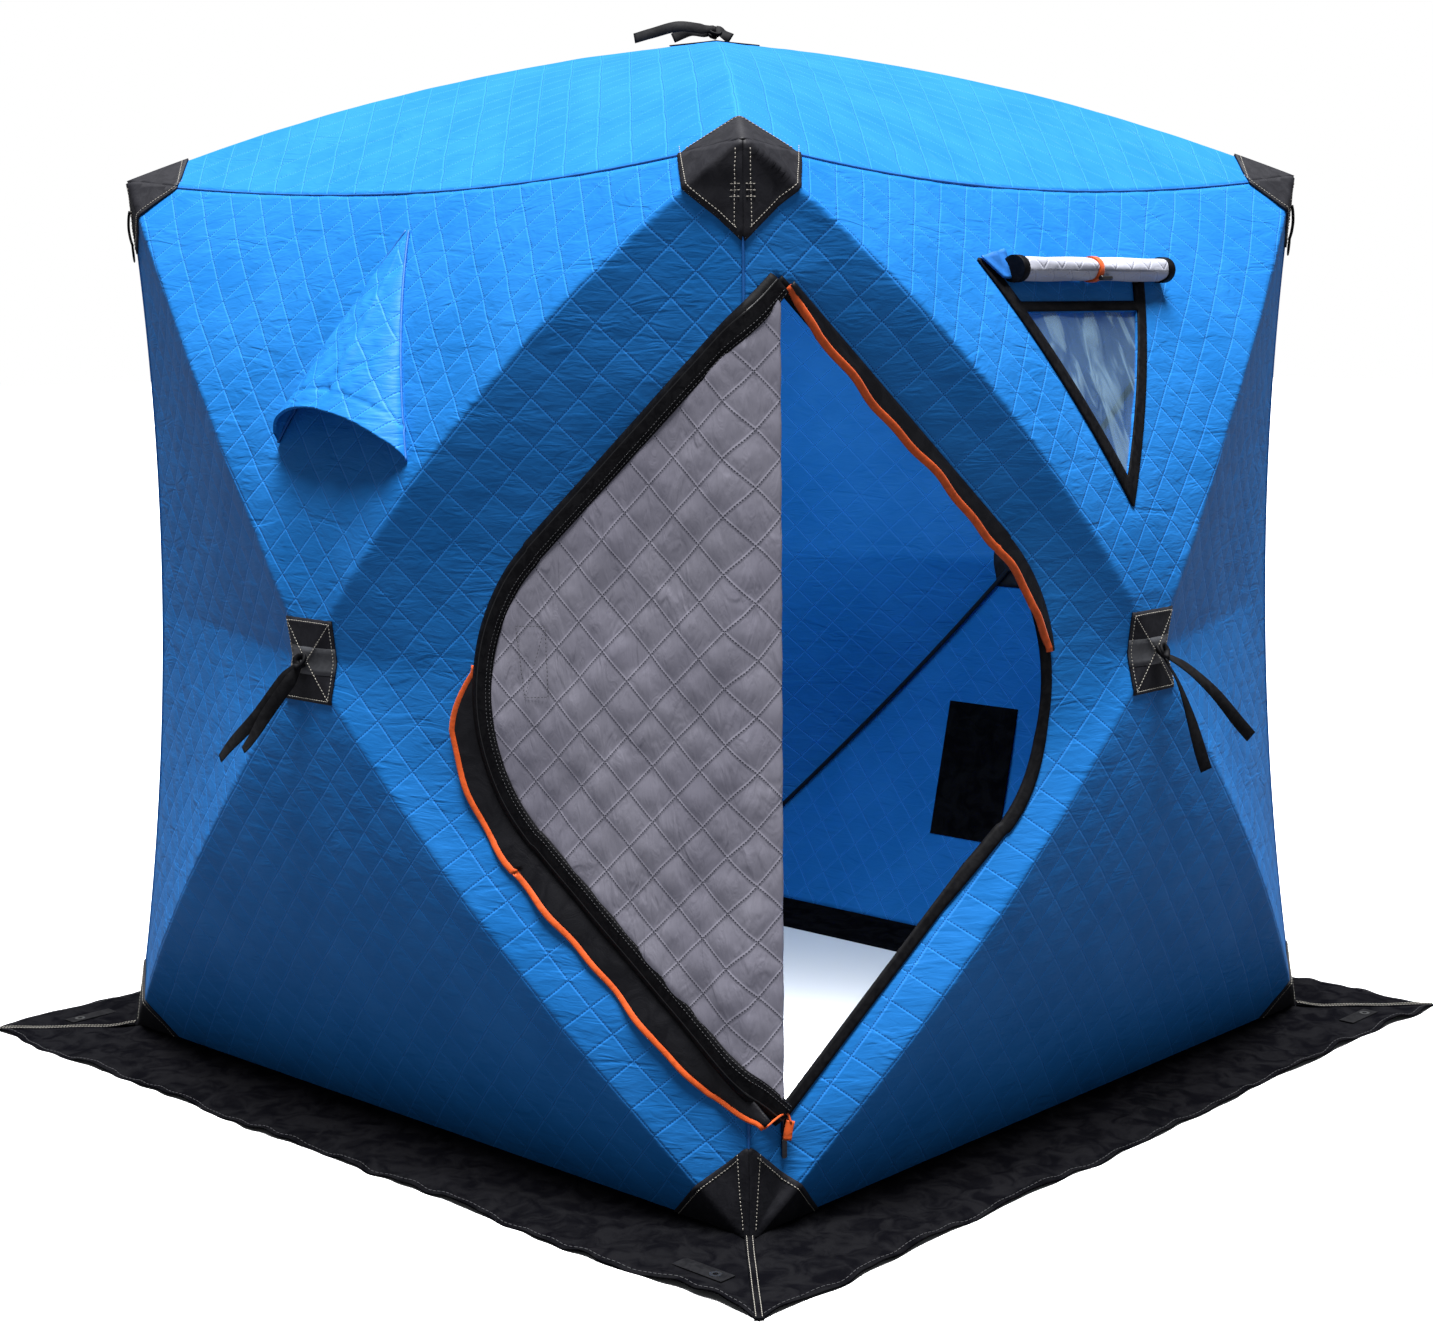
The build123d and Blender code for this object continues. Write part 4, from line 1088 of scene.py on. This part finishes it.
# Ground skirt
def build_skirt(name, turn):
    rows, columns = 25, 232
    a, o = np.meshgrid(np.linspace(-1, 1, columns), np.linspace(0, 1, rows))
    seed = turn + 11
    edge_wave = 7.0 * waves(a * 1100, a * 0, 300, seed) + 3.0 * waves(a * 1100, a * 0, 90, seed + 1)
    edge_wave = edge_wave * np.clip((1 - np.abs(a)) * 16, 0, 1)
    out = BASE + 1 + o * (SKIRT - SKIRT_INSIDE + edge_wave)
    across = a * (BASE + 1 + o * (SKIRT - SKIRT_INSIDE))
    lift = np.clip(o * 3, 0, 1) * (
        4.0 + 5.0 * waves(across, out, 210, seed + 2) * o + 2.2 * waves(across, out, 75, seed + 3)
    )
    lift = lift * (1 - np.exp(-(((across - TAB_ACROSS) / 95.0) ** 4) - ((out - TAB_OUT) / 45.0) ** 4))
    near_wall = 14.0 * np.exp(-((o / 0.10) ** 2))
    ends = np.clip((1 - np.abs(a)) * 22, 0.15, 1)
    height = 0.3 + (np.maximum(lift + near_wall + 1.0, 0.3) - 0.3) * ends
    top = place(turn, across, out, height + 1.6).reshape(-1, 3)
    under = place(turn, across, out, np.maximum(height - 1.2, 0.0)).reshape(-1, 3)
    cloth = np.stack([across.ravel(), out.ravel()], 1)
    piece = shell(f"{name}_skirt_cloth", top, under, lattice(columns, rows)[:, ::-1], cloth)
    dress(piece, BLACK, "black_cloth", f"{name}_skirt")
    return place(turn, across[-2], out[-2], height[-2] + 2.4)


HEMS = [build_skirt(name, turn) for name, turn in TURNS.items()]
dress(joined("skirt_hem_stitching", stitches(HEMS, 7.0, 4.0, 0.6)), DARK_THREAD, "webbing")


def skirt_corners():
    """Sewn band over the diagonal where two skirts meet, with two lines of stitching."""
    bands = []
    for turn in TURNS.values():
        reach = np.linspace(BASE + 4, BASE + SKIRT - 10, 30)
        height = 4.0 + 9.0 * np.exp(-(((reach - BASE) / 30.0) ** 2)) + 0.8 * np.sin(reach / 17.0)
        path = place(turn, reach, reach, height)
        bands.append(sweep_parts(path, band(17.0, 2.4), (0, 0, 1)))
        aside = np.array([*place(turn, 1, -1, 0)[:2], 0.0]) / sqrt(2)
        for shift in (-5.0, 5.0):
            PALE.append(path + aside * shift + np.array([0, 0, 1.8]))
    dress(joined("skirt_corner_bands", bands), BLACK, "black_cloth")


skirt_corners()


# Window
def on_right_wall(ruffle):
    """Surface of the right wall, with a ruffle added to the lift."""
    return lambda a, h, lift: wall_point("right", a, h, lift + ruffle(a, h))


def build_window():
    def keep_tape(a, h):
        (start, low, lean), (end, high, back) = TAPE_STRIPS
        left, right = (low - h) * lean + start - a, a - end + (high - h) * back
        strips = np.where(h > TAPE_BAR_HEIGHT, np.maximum(left, right), 1e3)
        return np.minimum(np.minimum(WINDOW_OUTLINE(a, h), -window_inside(a, h)), strips)

    tape = decal("window_tape", ((-312, 1172), (215, 1632)), 6.0, keep_tape, on_wall("right"), 0.5, 3.2)
    dress(tape, TAPE, "zip_tape", "window_frame")
    ripple = on_right_wall(lambda a, h: 1.5 * waves(a, h, 120, 71))
    box = ((-235, 1215), (170, 1546))
    pane = decal("window_vinyl", box, 12.0, polygon_field(WINDOW_PANE), ripple, -5.0, -4.0)
    dress(pane, VINYL, "clear_vinyl", "window_pane")
    gathered = on_right_wall(lambda a, h: 2.0 * np.sin((a + h) / 7.0) + (a + 300) * 0.12)
    box = ((-302, 1588), (-222, 1640))
    corner = decal(
        "window_cover_corner", box, 6.0, polygon_field(COVER_CORNER), gathered, 4.0, 7.0, cloth_scale
    )
    dress(corner, PLAIN_BLUE, "quilt_blue")


build_window()


def build_roll():
    steps, sides = 90, 36
    centre_out = float(max(wall_out("right", along, ROLL_HEIGHT) for along in (-232.0, 248.0))) + 24.5
    points, faces = [], []
    for along in np.linspace(*ROLL_ENDS, steps):
        pinch = 1 - 0.10 * np.exp(-(((along - 8) / 16.0) ** 2))
        for j in range(sides):
            angle = 2 * pi * j / sides
            wrap = 1 + 0.05 * sin(angle * 2 + 0.4) + 0.035 * sin(5 * angle + along / 60)
            wrap += 0.02 * sin(along / 23 + 3 * angle)
            radius = ROLL_RADIUS * wrap * pinch
            out, height = centre_out + radius * cos(angle), ROLL_HEIGHT + radius * sin(angle) * 0.95
            points.append(place(90, along, out, height))
    for i in range(steps - 1):
        for j in range(sides):
            k = (j + 1) % sides
            faces.append([i * sides + j, (i + 1) * sides + j, (i + 1) * sides + k, i * sides + k])
    faces.append(list(range(sides)))
    faces.append([(steps - 1) * sides + j for j in range(sides)][::-1])
    uv = np.array([(i * 490 / steps, 4 * j) for i in range(steps) for j in range(sides)])
    roll = object_from("window_cover_cloth_roll", np.array(points), faces, uv, 2)
    dress(roll, WHITE, "cover_white", "window_cover_roll")

    def along_roll(start, end, section, count=4, out=centre_out, height=ROLL_HEIGHT):
        line = np.array([place(90, along, out, height) for along in np.linspace(start, end, count)])
        return sweep_parts(line, section, (0, 0, 1))

    bands = [along_roll(start, end, ring(25.5, 24, 24.5)) for start, end in ((-236, -218), (233, 253))]
    dress(joined("window_cover_end_bands", bands), TAPE, "zip_tape")
    tie = along_roll(1, 15, ring(25.0, 28, 24.0))
    dress(joined("window_tie_loop", [tie]), ORANGE, "orange_cord", "window_tie")
    toggle = along_roll(2, 36, ring(4.5, 10), 6, centre_out + 24.0, ROLL_HEIGHT - 16.0)
    dress(joined("window_tie_toggle", [toggle]), PLASTIC, "hub_plastic")


build_roll()


# Vent hood
def build_hood():
    peak, left_end, right_end = (np.array(end) for end in (HOOD_PEAK, HOOD_LEFT, HOOD_RIGHT))
    columns, rows = 72, 72
    u, v = np.meshgrid(np.linspace(0, 1, columns), np.linspace(0.02, 1, rows))
    base = peak + (left_end - peak) * ((1 - u) * v)[..., None] + (right_end - peak) * (u * v)[..., None]
    arch = np.sin(pi * u ** 0.82) ** 0.6
    reach = HOOD_REACH * v ** 1.1 * arch
    lip = np.clip((v - HOOD_HEM) / 0.02, 0, 1)
    across, height = base[..., 0], base[..., 1] + HOOD_RISE * v ** 2.4 * arch
    fold = 7.0 * np.exp(-(((u - 0.62 + 0.1 * v) / 0.05) ** 2)) * v
    fold = fold - 6.0 * np.exp(-(((u - 0.45) / 0.07) ** 2)) * v
    rough = 2.4 * waves(across, height, 80, 41) + 0.8 * waves(across, height, 38, 42)
    rough = rough * np.clip(reach / 30, 0, 1)
    s, t = across * HOOD_STRETCH, height * HOOD_STRETCH
    pads = 1.8 * pillows(s, t) * np.clip(reach / 15, 0, 1)
    groove = 3.0 * np.exp(-(((v - HOOD_HEM) / 0.014) ** 2))
    out = wall_out("front", across, height) + 2.0 + reach + (fold + rough + pads) * (1 - 0.5 * lip) - groove
    top = place(0, across, out + 2.5, height).reshape(-1, 3)
    under = place(0, across, out - 2.5 - 1.5 * (reach > 10), height - 2.0 * v).reshape(-1, 3)
    cloth = np.stack([s.ravel(), t.ravel()], 1)
    hood = shell("vent_hood_cloth", top, under, lattice(columns, rows)[:, ::-1], cloth)
    dress(hood, BLUE, "quilt_blue", "vent_hood")
    sides = top.reshape(rows, columns, 3)[:, [0, -1]] + place(0, 0, 1.5, 0)
    piping = [sweep_parts(sides[:, k], ring(2.4, 6), (0, -1, 0)) for k in range(2)]
    dress(joined("vent_hood_edges", piping), PLAIN_BLUE, "quilt_blue")


build_hood()


# Straps and knots
KNOT = [
    (2, 4, 2), (-9, 8, 8), (-10, 15, -2), (2, 20, -9), (12, 16, 0),
    (8, 10, 10), (-4, 13, 9), (-8, 18, 0), (0, 14, -8), (6, 9, -4),
]


def knot_and_tails(centre, across_dir, out_dir, up_dir, tails, seed, facing=None):
    """Knotted strap: a looped knot and flat tails, by points across, out and up from the centre."""
    axes = np.array([across_dir, out_dir, up_dir], float)
    flat = axes[1] if facing is None else np.asarray(facing, float)

    def run(spots, step):
        return curve_through([centre + axes[0] * a + axes[1] * o + axes[2] * h for a, o, h in spots], step)

    parts = [sweep_parts(run(KNOT, 3.0), ring(6.0, 8, 3.4), axes[1])]
    for tail in tails:
        path = run(tail, 6.0)
        share = np.linspace(0, 1, len(path))
        width = np.clip(0.42 + share * 3.2, 0, 1)
        angle = np.sin(share * pi * 1.3 + seed) * 0.55
        normal = flat[None, :] * np.cos(angle)[:, None] + axes[0][None, :] * np.sin(angle)[:, None]
        parts.append(sweep_parts(path, band(24.0, 2.2), normal, np.stack([width, np.ones_like(width)], 1)))
    return parts


def straps():
    parts = []
    tails = {
        "front": [
            [(-4, 12, -6), (-36, 22, -34), (-82, 52, -104), (-126, 80, -158), (-146, 92, -186)],
            [(0, 14, -8), (-22, 26, -42), (-58, 48, -98), (-84, 66, -146), (-96, 76, -166)],
        ],
        "right": [
            [(4, 12, -8), (22, 34, -56), (46, 48, -124), (64, 60, -190), (76, 66, -226)],
            [(6, 14, -6), (46, 40, -34), (104, 62, -84), (158, 80, -142), (192, 90, -176)],
        ],
    }
    tails["back"], tails["left"] = tails["front"], tails["right"]
    for index, (name, turn) in enumerate(TURNS.items()):
        centre = place(turn, 0, HUB_OUT + KNOT_LIFT, HUB_HEIGHT)
        across_dir, out_dir = place(turn, 1, 0, 0), place(turn, 0, 1, 0)
        parts += knot_and_tails(centre, across_dir, out_dir, (0, 0, 1), tails[name], index)
    roof = np.array([0.0, 0.0, ROOF_HEIGHT + KNOT_LIFT])
    diagonal = np.array([-1, -1, 0]) / sqrt(2)
    side = np.array([1, -1, 0]) / sqrt(2)
    roof_tails = [
        [(0, 26, 0), (-20, 22, 8), (-74, 26, 20), (-128, 14, 10), (-166, 4, 2)],
        [(2, 24, 6), (-20, 17, -8), (-52, 20, -14), (-86, 6, -16)],
        [(2, 26, 0), (18, 12, 6), (34, 2, 8)],
    ]
    parts += knot_and_tails(roof, -diagonal, (0, 0, 1), side, roof_tails, 6, side + np.array([0, 0, 0.5]))
    dress(joined("hub_pull_straps", parts), WEBBING, "webbing", "hub_straps")


straps()


# Small things
def corner_pulls():
    """Webbing tabs under the far top corners, each with a cord loop."""
    tabs, cords = [], []
    for turn in (90, 180, 270):
        line = []
        for height, lift in PULL_COURSE:
            reach = corner_at(height, 1)
            line.append(place(turn, reach + lift * 0.7, reach + lift * 0.7, height))
        tabs.append(sweep_parts(curve_through(line, 5.0), band(15.0, 3.0), place(turn, 1, 1, 0)))
        loop = []
        for k in range(15):
            angle = 2 * pi * k / 14
            height = PULL_LOOP_HEIGHT + PULL_LOOP_RISE * cos(angle)
            reach = corner_at(height, 1) + 7
            loop.append(place(turn, reach - 4 * sin(angle), reach + 4 * sin(angle), height))
        cords.append(sweep_parts(np.array(loop), ring(1.6, 6), place(turn, 1, 1, 0)))
    dress(joined("corner_pull_tabs", tabs), WEBBING, "webbing", "corner_pulls")
    dress(joined("corner_pull_loops", cords), WEBBING, "webbing")


corner_pulls()
dress(joined("patch_stitching", stitches(PALE)), THREAD, "webbing")

# CAD pieces that stay: their own materials
KEPT = {
    "pole_rod": POLE, "hub_plastic": PLASTIC, "webbing": WEBBING, "black_cloth": BLACK,
    "steel": STEEL, "zip_tape": TAPE, "storm_cloth": STORM, "clear_vinyl": VINYL,
    "cover_white": WHITE, "orange_cord": ORANGE, "lining_grey": GREY, "quilt_blue": BLUE,
}
for row in frame["record"]["subparts"]:
    node = frame["nodes"].get(row["node"])
    if node is not None and node.data is not None:
        for slot in node.material_slots:
            slot.material = KEPT[row["material_slot"]]
frame["nodes"]["zip_slider"].material_slots[0].material = GUNMETAL


# Stage
STAGE_HALF = 40
FLOOR_SEEN, FLOOR_LIT, FLOOR_FELT = (0.93, 0.93, 0.93, 1), (0.94, 0.94, 0.94, 1), (0.10, 0.10, 0.11, 1)
SKY_SEEN, SKY_FELT, SKY_STRENGTH = (1, 1, 1, 1), (0.92, 0.96, 1.0, 1), 0.14


def build_stage():
    half = STAGE_HALF
    corners = np.array([(-half, -half, 0), (half, -half, 0), (half, half, 0), (-half, half, 0)])
    floor = object_from("stage_floor", corners, [[0, 1, 2, 3]], scale=1.0)
    look = Look("stage_white")
    where = look.object_place()
    tone = look.noise(where, 0.4)
    shade = look.mix(tone, FLOOR_SEEN, FLOOR_LIT)
    path = look.node("ShaderNodeLightPath")
    shade = look.mix(path.outputs["Is Camera Ray"], FLOOR_FELT, shade)
    look.surface(shade, 0.9, Specular_IOR_Level=0.0)
    floor.data.materials.append(look.material)
    world = bpy.data.worlds.new("white_studio")
    bpy.context.scene.world = world
    world.use_nodes = True
    tree = world.node_tree
    tree.nodes.clear()
    output = tree.nodes.new("ShaderNodeOutputWorld")
    seen, felt = tree.nodes.new("ShaderNodeBackground"), tree.nodes.new("ShaderNodeBackground")
    seen.inputs[0].default_value = SKY_SEEN
    seen.inputs[1].default_value = 1.0
    felt.inputs[0].default_value = SKY_FELT
    felt.inputs[1].default_value = SKY_STRENGTH
    path, mix = tree.nodes.new("ShaderNodeLightPath"), tree.nodes.new("ShaderNodeMixShader")
    tree.links.new(path.outputs["Is Camera Ray"], mix.inputs[0])
    tree.links.new(felt.outputs[0], mix.inputs[1])
    tree.links.new(seen.outputs[0], mix.inputs[2])
    tree.links.new(mix.outputs[0], output.inputs[0])


def lamp_from(name, data, rotation, spot=(0, 0, 0)):
    lamp = bpy.data.objects.new(name, data)
    lamp.location = spot
    lamp.rotation_euler = rotation.to_euler()
    bpy.context.scene.collection.objects.link(lamp)
    return lamp


def area_light(name, spot, target, width, power, color=(1, 1, 1)):
    data = bpy.data.lights.new(name, "AREA")
    data.shape = "DISK"
    data.size = width
    data.energy = power
    data.color = color
    lamp = lamp_from(name, data, (Vector(target) - Vector(spot)).to_track_quat("-Z", "Y"), spot)
    lamp.visible_camera = False


def sun_light(name, azimuth, elevation, strength, spread):
    """Sun whose light comes from an azimuth (0 is -Y, 90 is +X) and elevation, in degrees."""
    data = bpy.data.lights.new(name, "SUN")
    data.energy = strength
    data.angle = radians(spread)
    turn, rise = radians(azimuth), radians(elevation)
    toward = Vector((sin(turn) * cos(rise), -cos(turn) * cos(rise), sin(rise)))
    lamp_from(name, data, toward.to_track_quat("Z", "Y"))


build_stage()
sun_light("key_above", azimuth=52, elevation=85, strength=10.5, spread=30)
area_light(
    "light_through_cloth", spot=(-0.1, 0.1, 1.5), target=(-0.5, 0.6, 0.4),
    width=1.0, power=8, color=(0.75, 0.95, 1.0),
)
area_light("light_on_inner_floor", spot=(0.35, -0.35, 0.55), target=(0.35, -0.35, 0.0), width=0.5, power=14)

# Camera of the photograph, in degrees, metres and millimetres of focal length
CAMERA_YAW, CAMERA_PITCH, CAMERA_ROLL, CAMERA_LENS = 43.01, 8.56, -0.38, 59.82
CAMERA_SPOT = (3.4529, -3.7080, 1.5525)
yaw, pitch, roll = radians(CAMERA_YAW), radians(CAMERA_PITCH), radians(CAMERA_ROLL)
backward = Vector((sin(yaw) * cos(pitch), -cos(yaw) * cos(pitch), sin(pitch)))
rightward = (-backward).cross(Vector((0, 0, 1))).normalized()
upward = rightward.cross(-backward)
side = cos(roll) * rightward + sin(roll) * upward
top = -sin(roll) * rightward + cos(roll) * upward
camera_data = bpy.data.cameras.new("photo_camera")
camera_data.lens = CAMERA_LENS
camera_data.sensor_width = 36.0
camera_data.clip_end = 200.0
camera = bpy.data.objects.new("photo_camera", camera_data)
rows = [(side[k], top[k], backward[k], CAMERA_SPOT[k]) for k in range(3)]
camera.matrix_world = Matrix((*rows, (0, 0, 0, 1)))
bpy.context.scene.collection.objects.link(camera)
bpy.context.scene.camera = camera
bpy.context.scene.view_settings.view_transform = "Standard"
